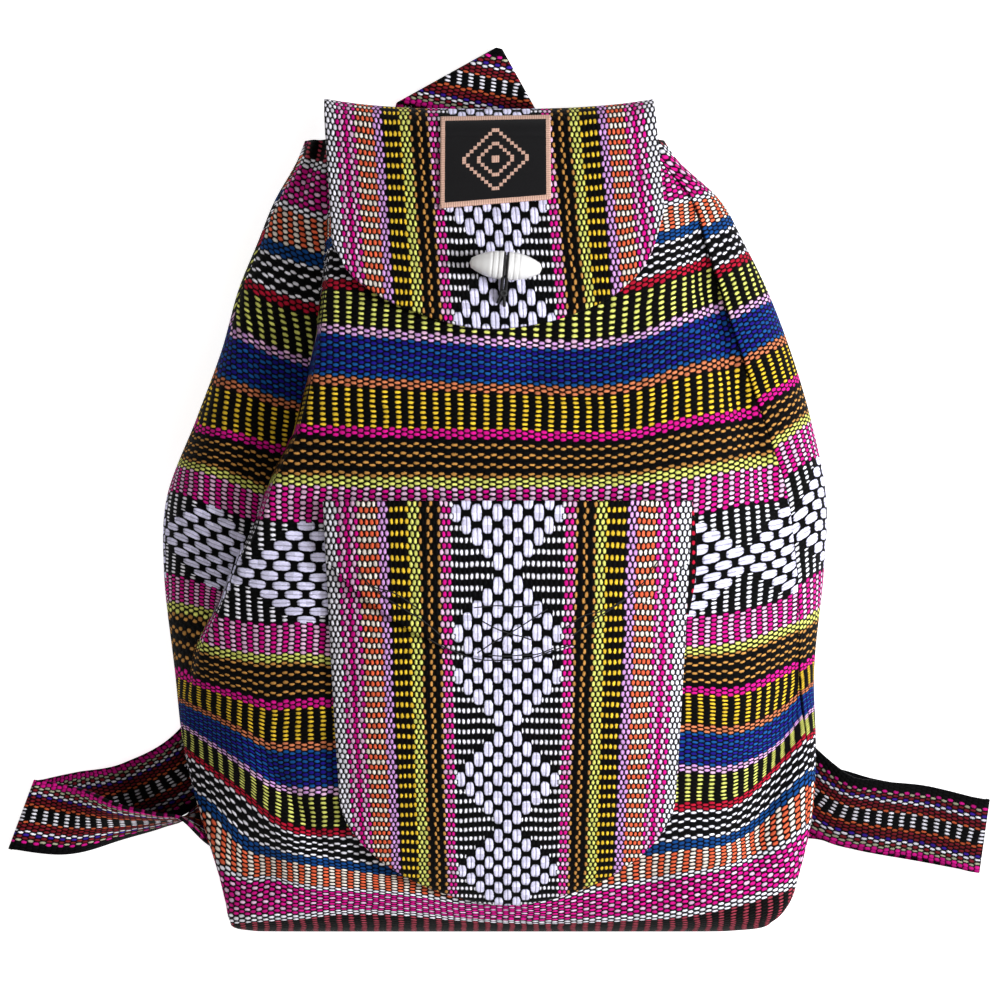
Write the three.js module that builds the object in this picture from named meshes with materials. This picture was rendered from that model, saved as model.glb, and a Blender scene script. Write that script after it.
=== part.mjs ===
// A handwoven fabric backpack lying on its back, built as a three.js scene graph.
// Units are millimetres. X is the width, Y runs from the base of the bag to its top,
// and Z is up from the surface that it lies on, so the front of the bag faces up.
// The sack is a front and a back panel, sewn together at the sides and base and open
// at the mouth. A flap folds over the mouth and is held down by a toggle in a loop. A
// pocket with its own flap is sewn to the front, a label to the flap, and a handle and
// two shoulder straps of woven band to the back.

import * as THREE from "three";

// Sack
const BAG_WIDTH = 363; // at its widest
const BAG_LENGTH = 437; // base to mouth
const BAG_DEPTH = 112; // the fullest part of the front above the back
const BASE_Y = -244; // the base seam
const CLOTH = 2.2; // thickness of the woven cloth
const GAP = 0.4; // left between two pieces that touch
const CORNER_GAP = 1.8; // more, where the side seams run into the base seam
const BASE_CORNER = 0.06; // share of the length over which they do
const RUFFLES = 9; // gathers round the front half of the mouth
const RUFFLE_HEIGHT = 2.4;
const BACK_FLAT = 0.07; // how far the back is pressed flat, as a share of its bulge

// Woven band of the straps and the handle
const BAND_WIDTH = 38;
const BAND = 1.8; // thickness
const BACK_Z = BAND + 2 * GAP + CLOTH / 2; // middle of the back panel, just above the straps

// Flap over the mouth
const FLAP_WIDTH = 184;
const FLAP_LENGTH = 117.5; // fold to lower edge, at the middle
const FLAP_REACH = 11.6; // from its seam up to the line where it folds
const FLAP_BULGE = 4; // how far the fold stands out past that line
const FLAP_HORN = 8; // the corners of the fold stand this much higher than its middle
const FLAP_SHIFT = -4; // of its middle line from the middle of the bag, at the fold
const FLAP_SLANT = 0.075; // sideways run for each unit of length
const FLAP_LIFT = 2.6; // clearance over the gathers
const FLAP_BACK_RISE = 1.8; // its back run passes this much over the handle's folds
const FLAP_EDGE_REACH = 0.84; // the sides of the flap fall less than the sack under them

// Pocket
const POCKET_WIDTH = 196; // at its mouth
const POCKET_FOOT_WIDTH = 176;
const POCKET_LENGTH = 221;
const POCKET_CORNER = 58; // height of the rounded foot
const POCKET_X = 6; // middle of the pocket
const POCKET_TOP_Y = -5;
const POCKET_BULGE = 9; // how far the cloth stands off the front
const POCKET_FLAP_LENGTH = 84;
const POCKET_FLAP_RISE = 42; // the flap is this much shorter at its sides

// Label
const LABEL_WIDTH = 60;
const LABEL_HEIGHT = 51;
const LABEL_THICKNESS = 1.4;
const LABEL_X = -0.5;
const LABEL_TOP_SETBACK = 0.4; // from the fold of the flap

// Toggle and its loop
const TOGGLE_LENGTH = 39;
const TOGGLE_RADIUS = 7.8;
const TOGGLE_X = 5;
const TOGGLE_SETBACK = 81; // from the fold of the flap, down the front
const TOGGLE_TURN = -5; // degrees, its right end lower
const LOOP_CORD = 2.4;
const LOOP_TAIL = 13; // from the toggle down to where the loop enters the flap

// Straps and handle
const STRAP_TURN_RADIUS = 3.4; // of the turned-back end of a strap
const STRAP_END_TRIM = 0.6; // keeps that end inside the length of its table
const HANDLE_TURN_RADIUS = 1.4; // of the handle's pressed folds
const HANDLE_LEG = 46; // the left leg's length to the middle of the first fold
const HANDLE_CROSS = 46; // between the two folds
const HANDLE_END = 48; // past the second fold
const HANDLE_FOLD_ONE = 49; // degrees between a fold and the band's width
const HANDLE_FOLD_TWO = -41;
const HANDLE_HEADING = 70; // of the left leg, degrees from +X
const HANDLE_X = -44; // where the left leg starts
const HANDLE_SETBACK = 9; // and how far below the mouth
const HANDLE_RISE = 1.1; // off the surface, up to the back that carries it

// The sack from base to mouth. Places are shares of its length, reaches shares of half
// its width, and crowns shares of its depth. "side" is the height of the widest line as
// a share of the crown, "square" is how boxy the front is across, and "lift" is how far
// the back stands above the straps, as a share of the depth.
const SACK_SECTIONS = [
  { at: 0.0, left: 0.735, right: 0.7, crown: 0.038, side: 0.5, square: 9.0, lift: 0 },
  { at: 0.004, left: 0.79, right: 0.79, crown: 0.13, side: 0.49, square: 6.8, lift: 0 },
  { at: 0.014, left: 0.81, right: 0.84, crown: 0.235, side: 0.48, square: 5.8, lift: 0 },
  { at: 0.035, left: 0.82, right: 0.885, crown: 0.34, side: 0.47, square: 4.9, lift: 0 },
  { at: 0.073, left: 0.84, right: 0.915, crown: 0.45, side: 0.45, square: 4.2, lift: 0 },
  { at: 0.147, left: 0.892, right: 0.952, crown: 0.61, side: 0.43, square: 3.5, lift: 0 },
  { at: 0.234, left: 0.941, right: 0.962, crown: 0.77, side: 0.42, square: 3.1, lift: 0 },
  { at: 0.33, left: 0.966, right: 0.955, crown: 0.9, side: 0.41, square: 2.9, lift: 0 },
  { at: 0.47, left: 1.0, right: 0.985, crown: 0.99, side: 0.4, square: 2.8, lift: 0 },
  { at: 0.55, left: 0.99, right: 0.99, crown: 1.0, side: 0.4, square: 2.8, lift: 0 },
  { at: 0.65, left: 0.9, right: 0.943, crown: 0.965, side: 0.4, square: 2.7, lift: 0 },
  { at: 0.735, left: 0.826, right: 0.883, crown: 0.88, side: 0.41, square: 2.7, lift: 0 },
  { at: 0.814, left: 0.774, right: 0.811, crown: 0.78, side: 0.42, square: 2.7, lift: 0 },
  { at: 0.87, left: 0.72, right: 0.745, crown: 0.7, side: 0.43, square: 2.7, lift: 0.003 },
  { at: 0.924, left: 0.668, right: 0.674, crown: 0.61, side: 0.44, square: 2.7, lift: 0.014 },
  { at: 0.975, left: 0.6, right: 0.545, crown: 0.52, side: 0.46, square: 2.8, lift: 0.0214 },
  { at: 1.0, left: 0.577, right: 0.505, crown: 0.47, side: 0.48, square: 2.8, lift: 0.0214 },
];

// Side seams, in degrees round the section: 0 is the right side, 90 the crown.
const SIDE_SEAMS = [
  { at: 0.0, right: 8, left: 172 },
  { at: 0.07, right: 12, left: 173 },
  { at: 0.3, right: 20, left: 172 },
  { at: 0.55, right: 34, left: 170 },
  { at: 0.8, right: 40, left: 168 },
  { at: 1.0, right: 30, left: 166 },
];

// Dents and folds of the front. x is a share of half the sack's width and "at" a share
// of its length, depth a share of its depth and width a share of its width.
const FOLDS = [
  { x0: -0.56, at0: 0.75, x1: -0.79, at1: 0.46, depth: 0.15, width: 0.05 },
  { x0: -0.79, at0: 0.46, x1: -0.93, at1: 0.3, depth: 0.08, width: 0.045 },
  { x0: 0.62, at0: 0.86, x1: 0.85, at1: 0.52, depth: 0.07, width: 0.045 },
  { x0: 0.95, at0: 0.36, x1: 0.77, at1: 0.13, depth: 0.1, width: 0.045 },
  { x0: -0.9, at0: 0.26, x1: -0.72, at1: 0.09, depth: 0.07, width: 0.045 },
  { x0: -0.4, at0: 0.1, x1: 0.45, at1: 0.075, depth: 0.05, width: 0.04 },
  { x0: 0.12, at0: 0.72, x1: 0.56, at1: 0.76, depth: 0.07, width: 0.05 },
];

// The flap's lower edge, as the length down the front at a share of its width.
const FLAP_EDGE = [
  { across: 0.0, length: 0.66 },
  { across: 0.04, length: 0.77 },
  { across: 0.12, length: 0.86 },
  { across: 0.25, length: 0.94 },
  { across: 0.42, length: 1.0 },
  { across: 0.58, length: 0.985 },
  { across: 0.72, length: 0.93 },
  { across: 0.86, length: 0.83 },
  { across: 0.95, length: 0.69 },
  { across: 1.0, length: 0.5 },
];

// Profile of the toggle from its middle to an end, as shares of its half length and radius.
const TOGGLE_PROFILE = [
  { along: 0.0, radius: 0.66 },
  { along: 0.06, radius: 0.66 },
  { along: 0.075, radius: 1.0 },
  { along: 0.18, radius: 0.99 },
  { along: 0.2, radius: 0.93 },
  { along: 0.23, radius: 0.93 },
  { along: 0.25, radius: 0.97 },
  { along: 0.34, radius: 0.95 },
  { along: 0.36, radius: 0.89 },
  { along: 0.39, radius: 0.89 },
  { along: 0.41, radius: 0.92 },
  { along: 0.62, radius: 0.76 },
  { along: 0.82, radius: 0.54 },
  { along: 0.95, radius: 0.34 },
  { along: 1.0, radius: 0.0 },
];

// Shoulder straps, from the top of the back, under the bag, out past its side, back in
// the turned end and on to the lower corner. "across" is a share of half the sack's
// width and "at" of its length, both for the band's middle line. "rise" is how far its
// lower edge is off the surface, as a share of the band's width. That width points along
// "heading" in the plan and rises by "tilt", both in degrees. The left strap turns over
// on its way back.
const STRAP_LEFT = [
  { across: -0.1322, at: 0.9199, rise: 0, heading: 158, tilt: 0 },
  { across: -0.2975, at: 0.7506, rise: 0, heading: 158, tilt: 0 },
  { across: -0.5069, at: 0.54, rise: 0, heading: 156, tilt: 0 },
  { across: -0.7052, at: 0.3661, rise: 0, heading: 151, tilt: 0 },
  { across: -0.8815, at: 0.254, rise: 0, heading: 138, tilt: 4 },
  { across: -1.0909, at: 0.1854, rise: 0.0026, heading: 118, tilt: 8 },
  { across: -1.2893, at: 0.1579, rise: 0.0079, heading: 94, tilt: 6 },
  { across: -1.427, at: 0.151, rise: 0.0553, heading: 74, tilt: 0 },
];
const STRAP_LEFT_RETURN = [
  { across: -1.4105, at: 0.1487, rise: 0.2658, heading: 73, tilt: 0 },
  { across: -1.3058, at: 0.1407, rise: 0.2263, heading: 75, tilt: 14 },
  { across: -1.1625, at: 0.1407, rise: 0.1605, heading: 84, tilt: 54 },
  { across: -1.0303, at: 0.143, rise: 0.0553, heading: 92, tilt: 86 },
  { across: -0.9477, at: 0.1499, rise: 0.0132, heading: 104, tilt: 138 },
  { across: -0.8485, at: 0.1556, rise: 0, heading: 88, tilt: 170 },
  { across: -0.7163, at: 0.1396, rise: 0, heading: 56, tilt: 178 },
  { across: -0.6281, at: 0.0961, rise: 0, heading: 34, tilt: 180 },
  { across: -0.573, at: 0.0412, rise: 0, heading: 22, tilt: 180 },
];
const STRAP_RIGHT = [
  { across: 0.1322, at: 0.9199, rise: 0, heading: 22, tilt: 0 },
  { across: 0.2975, at: 0.7506, rise: 0, heading: 22, tilt: 0 },
  { across: 0.4959, at: 0.5446, rise: 0, heading: 23, tilt: 0 },
  { across: 0.6722, at: 0.3524, rise: 0, heading: 26, tilt: 0 },
  { across: 0.8264, at: 0.2334, rise: 0.0711, heading: 38, tilt: 6 },
  { across: 1.0138, at: 0.1625, rise: 0.1447, heading: 62, tilt: 18 },
  { across: 1.157, at: 0.1453, rise: 0.2395, heading: 80, tilt: 10 },
  { across: 1.3113, at: 0.1396, rise: 0.2237, heading: 84, tilt: 0 },
  { across: 1.4601, at: 0.127, rise: 0.2026, heading: 86, tilt: 0 },
];
const STRAP_RIGHT_RETURN = [
  { across: 1.4435, at: 0.1259, rise: 0.0237, heading: 86, tilt: 0 },
  { across: 1.3113, at: 0.1339, rise: 0.0079, heading: 85, tilt: 0 },
  { across: 1.1295, at: 0.1419, rise: 0, heading: 88, tilt: 0 },
  { across: 0.9697, at: 0.135, rise: 0, heading: 100, tilt: 0 },
  { across: 0.8264, at: 0.1053, rise: 0, heading: 118, tilt: 0 },
  { across: 0.7163, at: 0.0572, rise: 0, heading: 138, tilt: 0 },
];

// Steps of each sheet's grid
const AROUND_FRONT = 30;
const AROUND_BACK = 22;
const ALONG_SACK = 24;
const ACROSS_FLAP = 18;
const ALONG_FLAP = 24;
const ACROSS_POCKET = 16;
const ALONG_POCKET = 14;
const ALONG_POCKET_FLAP = 6;
const LABEL_STEPS = 6;
const ACROSS_STRAP = 2;
const ALONG_STRAP = 56;
const ACROSS_HANDLE = 4;
const ROUND_TOGGLE = 20;
const ALONG_LOOP = 36;
const ROUND_LOOP = 8;

const colours = {
  body: "#5a2a52",
  flap: "#7a3a58",
  pocket: "#80405c",
  label: "#16161a",
  toggle: "#f1efe6",
  cord: "#141214",
  band: "#5c1c38",
};

function material(colour, roughness = 0.9) {
  return new THREE.MeshStandardMaterial({ color: colour, roughness, metalness: 0 });
}

// Smooth values between the rows of a table, each column by its name.
function tableOf(rows, along = "at") {
  const names = Object.keys(rows[0]).filter((name) => name !== along);
  const places = rows.map((row) => row[along]);
  const values = rows.flatMap((row) => names.map((name) => row[name]));
  const curve = new THREE.CubicInterpolant(places, values, names.length);
  return (at) => {
    const found = curve.evaluate(THREE.MathUtils.clamp(at, places[0], places.at(-1)));
    return Object.fromEntries(names.map((name, i) => [name, found[i]]));
  };
}

const sackSection = tableOf(SACK_SECTIONS);
const sideSeams = tableOf(SIDE_SEAMS);
const flapEdge = tableOf(FLAP_EDGE, "across");

// How far the folds lower the front at a place, and the gathers at the mouth.
function foldDepth(x, at) {
  const point = new THREE.Vector2(x, at * BAG_LENGTH);
  return FOLDS.reduce((sum, fold) => {
    const start = new THREE.Vector2(fold.x0 * BAG_WIDTH * 0.5, fold.at0 * BAG_LENGTH);
    const run = new THREE.Vector2(
      fold.x1 * BAG_WIDTH * 0.5,
      fold.at1 * BAG_LENGTH,
    ).sub(start);
    const share = THREE.MathUtils.clamp(
      point.clone().sub(start).dot(run) / run.lengthSq(),
      0,
      1,
    );
    const away = point.distanceTo(start.addScaledVector(run, share));
    return (
      sum + fold.depth * BAG_DEPTH * Math.exp(-((away / (fold.width * BAG_WIDTH)) ** 2))
    );
  }, 0);
}

// A point on the middle of the sack's cloth: "turn" goes round the section in radians.
function sackPoint(turn, at) {
  const { left, right, crown, side, square, lift } = sackSection(at);
  const c = Math.cos(turn);
  const s = Math.sin(turn);
  const reach = (c > 0 ? right : left) * BAG_WIDTH * 0.5;
  const x = Math.sign(c) * reach * Math.abs(c) ** (2 / square);
  const backZ = BACK_Z + lift * BAG_DEPTH;
  const sideZ = backZ + side * crown * BAG_DEPTH;
  const y = BASE_Y + at * BAG_LENGTH;
  if (s < 0) {
    const drop = (sideZ - backZ) * (1 + BACK_FLAT) * Math.abs(s) ** 0.8;
    return new THREE.Vector3(x, y, Math.max(backZ, sideZ - drop));
  }
  const gathered = THREE.MathUtils.smoothstep(at, 0.84, 1);
  const z =
    sideZ +
    (1 - side) * crown * BAG_DEPTH * s -
    foldDepth(x, at) * Math.sqrt(s) +
    RUFFLE_HEIGHT * gathered * s * Math.cos(RUFFLES * 2 * turn);
  return new THREE.Vector3(x, y, z);
}

// Height of the sack's front, without its folds, over a place in the plan.
function frontHeight(x, y) {
  const at = THREE.MathUtils.clamp((y - BASE_Y) / BAG_LENGTH, 0, 1);
  const { left, right, crown, side, square, lift } = sackSection(at);
  const reach = (x > 0 ? right : left) * BAG_WIDTH * 0.5;
  const share = Math.min(1, Math.abs(x) / reach) ** square;
  const rise = crown * (side + (1 - side) * Math.sqrt(1 - share));
  return BACK_Z + (lift + rise) * BAG_DEPTH;
}

// A sheet of cloth: a box whose grid is laid over place(across, along) and given its
// thickness along the surface's normal.
function sheet(place, acrossSteps, alongSteps, thickness) {
  const box = new THREE.BoxGeometry(1, 1, 1, acrossSteps, alongSteps, 1);
  const spots = box.getAttribute("position");
  const step = 1e-3;
  for (let i = 0; i < spots.count; i += 1) {
    const across = spots.getX(i) + 0.5;
    const along = spots.getY(i) + 0.5;
    const low = (share) => Math.max(0, share - step);
    const high = (share) => Math.min(1, share + step);
    const run = place(high(across), along).sub(place(low(across), along));
    const rise = place(across, high(along)).sub(place(across, low(along)));
    const normal = run.cross(rise).normalize();
    const point = place(across, along).addScaledVector(normal, spots.getZ(i) * thickness);
    spots.setXYZ(i, point.x, point.y, point.z);
  }
  box.deleteAttribute("uv");
  box.computeVertexNormals();
  return box;
}

function piece(name, geometry, colour, roughness) {
  const mesh = new THREE.Mesh(geometry, material(colour, roughness));
  mesh.name = name;
  return mesh;
}

// More rows of the sack lie near its base, where it turns under.
function sackRow(along) {
  return along * (0.35 + 0.65 * along);
}

// How much of a turn half the seam's gap takes. It opens at the corners of the base.
function seamGap(turn, at) {
  const step = 0.01;
  const length = sackPoint(turn + step, at).distanceTo(sackPoint(turn - step, at));
  const corner = 1 - THREE.MathUtils.smoothstep(at, 0, BASE_CORNER);
  return ((GAP + corner * CORNER_GAP) * step) / length;
}

function frontPanel() {
  const place = (across, along) => {
    const at = sackRow(along);
    const seams = sideSeams(at);
    const right = THREE.MathUtils.degToRad(seams.right);
    const left = THREE.MathUtils.degToRad(seams.left);
    const from = left - seamGap(left, at);
    const to = right + seamGap(right, at);
    return sackPoint(THREE.MathUtils.lerp(from, to, across), at);
  };
  return piece(
    "front_panel",
    sheet(place, AROUND_FRONT, ALONG_SACK, CLOTH),
    colours.body,
  );
}

function backPanel() {
  const place = (across, along) => {
    const at = sackRow(along);
    const seams = sideSeams(at);
    const right = THREE.MathUtils.degToRad(seams.right);
    const left = THREE.MathUtils.degToRad(seams.left - 360);
    const from = right - seamGap(right, at);
    const to = left + seamGap(left, at);
    return sackPoint(THREE.MathUtils.lerp(from, to, across), at);
  };
  return piece(
    "back_panel",
    sheet(place, AROUND_BACK, ALONG_SACK, CLOTH),
    colours.body,
  );
}

const FLAP_ROOT_Y = BASE_Y + BAG_LENGTH + GAP; // where it is sewn to the back
const FLAP_FOLD_Y = FLAP_ROOT_Y + FLAP_REACH; // where it leaves the front to fold
const FLAP_BACK_SHARE = 0.06; // of its grid, up the back to the fold
const FLAP_FOLD_SHARE = 0.26; // and to the end of the fold

function flapSpot(across, down) {
  const side = 2 * across - 1;
  const x = FLAP_SHIFT + side * FLAP_WIDTH * 0.5 + FLAP_SLANT * down;
  const y = FLAP_FOLD_Y + FLAP_HORN * Math.abs(side) ** 3 - down;
  return { x, y };
}

// Middle of the flap's cloth over a place on the front of the bag.
function flapHeight(x, y) {
  const lift = CLOTH + GAP + FLAP_LIFT;
  const reach = BASE_Y + BAG_LENGTH;
  return frontHeight(x * FLAP_EDGE_REACH, Math.min(y, reach)) + lift;
}

function flap() {
  const place = (across, along) => {
    const top = flapSpot(across, 0);
    const topZ = flapHeight(top.x, top.y);
    const rootZ = BACK_Z + sackSection(1).lift * BAG_DEPTH;
    const backZ = rootZ + FLAP_BACK_RISE;
    if (along < FLAP_BACK_SHARE) {
      const share = along / FLAP_BACK_SHARE;
      const y = THREE.MathUtils.lerp(FLAP_ROOT_Y, top.y, share);
      return new THREE.Vector3(top.x, y, rootZ + FLAP_BACK_RISE * Math.sin((share * Math.PI) / 2));
    }
    if (along < FLAP_FOLD_SHARE) {
      const share = THREE.MathUtils.inverseLerp(FLAP_BACK_SHARE, FLAP_FOLD_SHARE, along);
      const turn = THREE.MathUtils.lerp(-0.5, 0.5, share) * Math.PI;
      const half = (topZ - backZ) / 2;
      const y = top.y + FLAP_BULGE * Math.cos(turn);
      return new THREE.Vector3(top.x, y, backZ + half + half * Math.sin(turn));
    }
    const length = flapEdge(across).length * FLAP_LENGTH;
    const down = THREE.MathUtils.inverseLerp(FLAP_FOLD_SHARE, 1, along) * length;
    const spot = flapSpot(across, down);
    return new THREE.Vector3(spot.x, spot.y, flapHeight(spot.x, spot.y));
  };
  const outside = (across, along) => place(1 - across, along);
  return piece("flap", sheet(outside, ACROSS_FLAP, ALONG_FLAP, CLOTH), colours.flap);
}

// A place on the front under a piece that is sewn to it.
function pocketSpot(across, down) {
  const side = 2 * across - 1;
  const width = THREE.MathUtils.lerp(
    POCKET_WIDTH,
    POCKET_FOOT_WIDTH,
    THREE.MathUtils.clamp(down / POCKET_LENGTH, 0, 1),
  );
  return { x: POCKET_X + (side * width) / 2, y: POCKET_TOP_Y - down };
}

// Middle of the pocket's cloth. It meets the front at its sides and foot, and stands
// off it at the middle and the mouth.
function pocketPoint(across, along) {
  const side = Math.abs(2 * across - 1);
  const round = (1 - side ** 1.75) ** (1 / 1.75);
  const length = POCKET_LENGTH - POCKET_CORNER * (1 - round);
  const { x, y } = pocketSpot(across, along * length);
  const bulge = (1 - side ** 4) * (1 - along ** 6) ** 0.8;
  const z = frontHeight(x, y) + CLOTH + 3 * GAP + POCKET_BULGE * bulge;
  return new THREE.Vector3(x, y, z);
}

function pocket() {
  const place = (across, along) => pocketPoint(across, 1 - along);
  return piece("pocket", sheet(place, ACROSS_POCKET, ALONG_POCKET, CLOTH), colours.pocket);
}

function pocketFlap() {
  const place = (across, along) => {
    const side = Math.abs(2 * across - 1);
    const length = POCKET_FLAP_LENGTH - POCKET_FLAP_RISE * side ** 2.2;
    const down = (1 - along) * length;
    const under = pocketPoint(across, down / POCKET_LENGTH);
    return under.add(new THREE.Vector3(0, 0, CLOTH + GAP * 1.5));
  };
  const shape = sheet(place, ACROSS_POCKET, ALONG_POCKET_FLAP, CLOTH);
  return piece("pocket_flap", shape, colours.pocket);
}

function label() {
  const place = (across, along) => {
    const x = LABEL_X + (across - 0.5) * LABEL_WIDTH;
    const down = LABEL_TOP_SETBACK + (1 - along) * LABEL_HEIGHT;
    const y = FLAP_FOLD_Y - down;
    const z = flapHeight(x, y) + CLOTH / 2 + GAP + LABEL_THICKNESS / 2;
    return new THREE.Vector3(x, y, z);
  };
  const shape = sheet(place, LABEL_STEPS, LABEL_STEPS, LABEL_THICKNESS);
  return piece("label", shape, colours.label, 0.7);
}

const TOGGLE_Y = FLAP_FOLD_Y - TOGGLE_SETBACK;
const TOGGLE_WAIST = TOGGLE_PROFILE[0].radius * TOGGLE_RADIUS;
const toggleZ =
  flapHeight(TOGGLE_X, TOGGLE_Y) +
  CLOTH / 2 +
  Math.max(GAP + TOGGLE_RADIUS, 2 * GAP + LOOP_CORD + TOGGLE_WAIST) +
  GAP;

function toggle() {
  const half = TOGGLE_PROFILE.map(
    (row) => new THREE.Vector2(row.radius * TOGGLE_RADIUS, (row.along * TOGGLE_LENGTH) / 2),
  );
  const other = half
    .slice(1)
    .reverse()
    .map((point) => new THREE.Vector2(point.x, -point.y));
  const shape = new THREE.LatheGeometry([...other, ...half], ROUND_TOGGLE);
  shape.rotateZ(-Math.PI / 2);
  const mesh = piece("toggle", shape, colours.toggle, 0.35);
  mesh.position.set(TOGGLE_X, TOGGLE_Y, toggleZ);
  mesh.rotation.z = THREE.MathUtils.degToRad(TOGGLE_TURN);
  return mesh;
}

// The loop passes round the toggle's waist and runs down to the flap in one tail.
class LoopPath extends THREE.Curve {
  getPoint(share) {
    const turn = share * 2 * Math.PI;
    const radius = TOGGLE_WAIST + GAP + LOOP_CORD / 2;
    const tail = Math.max(0, -Math.cos(turn));
    const y = radius * Math.cos(turn) - LOOP_TAIL * tail ** 3;
    const floor = toggleZ - radius;
    const z = toggleZ + radius * Math.sin(turn) * (1 - 0.55 * tail ** 3);
    const low = floor + (flapHeight(0, TOGGLE_Y + y) - flapHeight(0, TOGGLE_Y));
    return new THREE.Vector3(0, y, Math.max(z, low) - (z - low) * tail ** 4 * 0.6);
  }
}

function toggleLoop() {
  const path = new LoopPath();
  const tube = new THREE.TubeGeometry(path, ALONG_LOOP, LOOP_CORD / 2, ROUND_LOOP, true);
  const mesh = piece("toggle_loop", tube, colours.cord, 0.6);
  mesh.position.set(TOGGLE_X, TOGGLE_Y, 0);
  mesh.rotation.z = THREE.MathUtils.degToRad(TOGGLE_TURN);
  return mesh;
}

// A woven band along rows of places, and the turned-back end between two such runs.
function bandPlace(rows) {
  const steps = rows.map((row, i) => ({ ...row, share: i / (rows.length - 1) }));
  const row = tableOf(steps, "share");
  return (across, along) => {
    const { x, y, z, heading, tilt } = row(along);
    const plan = THREE.MathUtils.degToRad(heading);
    const rise = THREE.MathUtils.degToRad(tilt);
    const width = new THREE.Vector3(
      Math.cos(plan) * Math.cos(rise),
      Math.sin(plan) * Math.cos(rise),
      Math.sin(rise),
    );
    const middle = z + (Math.abs(Math.sin(rise)) * BAND_WIDTH) / 2;
    return new THREE.Vector3(x, y, middle).addScaledVector(
      width,
      (across - 0.5) * BAND_WIDTH,
    );
  };
}

// Rows of a strap's table in millimetres.
function strapPlaces(rows) {
  return rows.map(({ across, at, rise, heading, tilt }) => ({
    x: (across * BAG_WIDTH) / 2,
    y: BASE_Y + at * BAG_LENGTH,
    z: BAND / 2 + rise * BAND_WIDTH,
    heading,
    tilt,
  }));
}

function strapRows(out, back) {
  const last = out.at(-1);
  const first = back[0];
  const sign = Math.sign(last.x);
  const middle = (last.z + first.z) / 2;
  const turns = [-0.5, 0, 0.5].map((share) => ({
    x: last.x + sign * (STRAP_TURN_RADIUS * Math.cos(share * Math.PI) - STRAP_END_TRIM),
    y: last.y,
    z: middle + ((first.z - last.z) / 2) * Math.sin(share * Math.PI),
    heading: last.heading,
    tilt: 0,
  }));
  return [...out.slice(0, -1), ...turns, ...back.slice(1)];
}

function strap(name, out, back) {
  const place = bandPlace(strapRows(strapPlaces(out), strapPlaces(back)));
  const isLeft = out[0].across < 0;
  const facing = (across, along) => place(isLeft ? 1 - across : across, 1 - along);
  return piece(name, sheet(facing, ACROSS_STRAP, ALONG_STRAP, BAND), colours.band);
}

// Folds a flat band: what lies past a line, given by its place along the band and its
// angle to the width, is wrapped up and over it.
function foldOver(point, line) {
  const across = new THREE.Vector2(Math.cos(line.angle), Math.sin(line.angle));
  const flat = new THREE.Vector2(point.x - line.along, point.y);
  const past = flat.dot(across);
  if (past <= 0) return point;
  const wrapped = Math.min(past / line.radius, Math.PI);
  const rest = Math.max(0, past - Math.PI * line.radius);
  const reach = line.radius * Math.sin(wrapped) - rest;
  const height = line.radius * (1 - Math.cos(wrapped));
  const lean = point.z;
  const move = reach - past - lean * Math.sin(wrapped);
  return new THREE.Vector3(
    point.x + across.x * move,
    point.y + across.y * move,
    height + lean * Math.cos(wrapped),
  );
}

// The handle is a loop pressed flat: up from the left, over a slanting fold, across, and
// over a second fold back down on the right.

// Rows of the handle's grid: how far along the band its middle is, how much the row
// slants, and how many steps lead to it.
function handleRows() {
  const slants = [HANDLE_FOLD_ONE, HANDLE_FOLD_TWO].map(THREE.MathUtils.degToRad);
  const turns = slants.map((angle) => (Math.PI * HANDLE_TURN_RADIUS) / Math.cos(angle));
  const one = HANDLE_LEG;
  const two = one + HANDLE_CROSS;
  return [
    { along: 0, slant: 0, steps: 0 },
    { along: one, slant: Math.tan(slants[0]), steps: 5 },
    { along: one + turns[0], slant: Math.tan(slants[0]), steps: 8 },
    { along: two, slant: Math.tan(slants[1]), steps: 5 },
    { along: two + turns[1], slant: Math.tan(slants[1]), steps: 8 },
    { along: two + HANDLE_END, slant: 0, steps: 5 },
  ];
}

function handle() {
  const rows = handleRows();
  const steps = rows.reduce((sum, row) => sum + row.steps, 0);
  const lines = [
    {
      along: HANDLE_LEG,
      angle: THREE.MathUtils.degToRad(HANDLE_FOLD_ONE),
      radius: HANDLE_TURN_RADIUS,
    },
    {
      along: HANDLE_LEG + HANDLE_CROSS,
      angle: THREE.MathUtils.degToRad(HANDLE_FOLD_TWO),
      radius: HANDLE_TURN_RADIUS,
    },
  ];
  const place = (across, along) => {
    let left = along * steps;
    let i = 1;
    while (i < rows.length - 1 && left > rows[i].steps) {
      left -= rows[i].steps;
      i += 1;
    }
    const share = left / rows[i].steps;
    const side = (across - 0.5) * BAND_WIDTH;
    const middle = THREE.MathUtils.lerp(rows[i - 1].along, rows[i].along, share);
    const slant = THREE.MathUtils.lerp(rows[i - 1].slant, rows[i].slant, share);
    const flat = new THREE.Vector3(middle - side * slant, side, 0);
    return foldOver(foldOver(flat, lines[1]), lines[0]);
  };
  const outside = (across, along) => place(1 - across, along);
  const band = sheet(outside, ACROSS_HANDLE, steps, BAND);
  band.rotateZ(THREE.MathUtils.degToRad(HANDLE_HEADING));
  const mesh = piece("handle", band, colours.band);
  const startY = BASE_Y + BAG_LENGTH - HANDLE_SETBACK;
  mesh.position.set(HANDLE_X, startY, BAND / 2 + HANDLE_RISE);
  return mesh;
}

const backpack = new THREE.Group();
backpack.add(
  frontPanel(),
  backPanel(),
  flap(),
  pocket(),
  pocketFlap(),
  label(),
  toggle(),
  toggleLoop(),
  handle(),
  strap("strap_left", STRAP_LEFT, STRAP_LEFT_RETURN),
  strap("strap_right", STRAP_RIGHT, STRAP_RIGHT_RETURN),
);

export default backpack;
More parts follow.
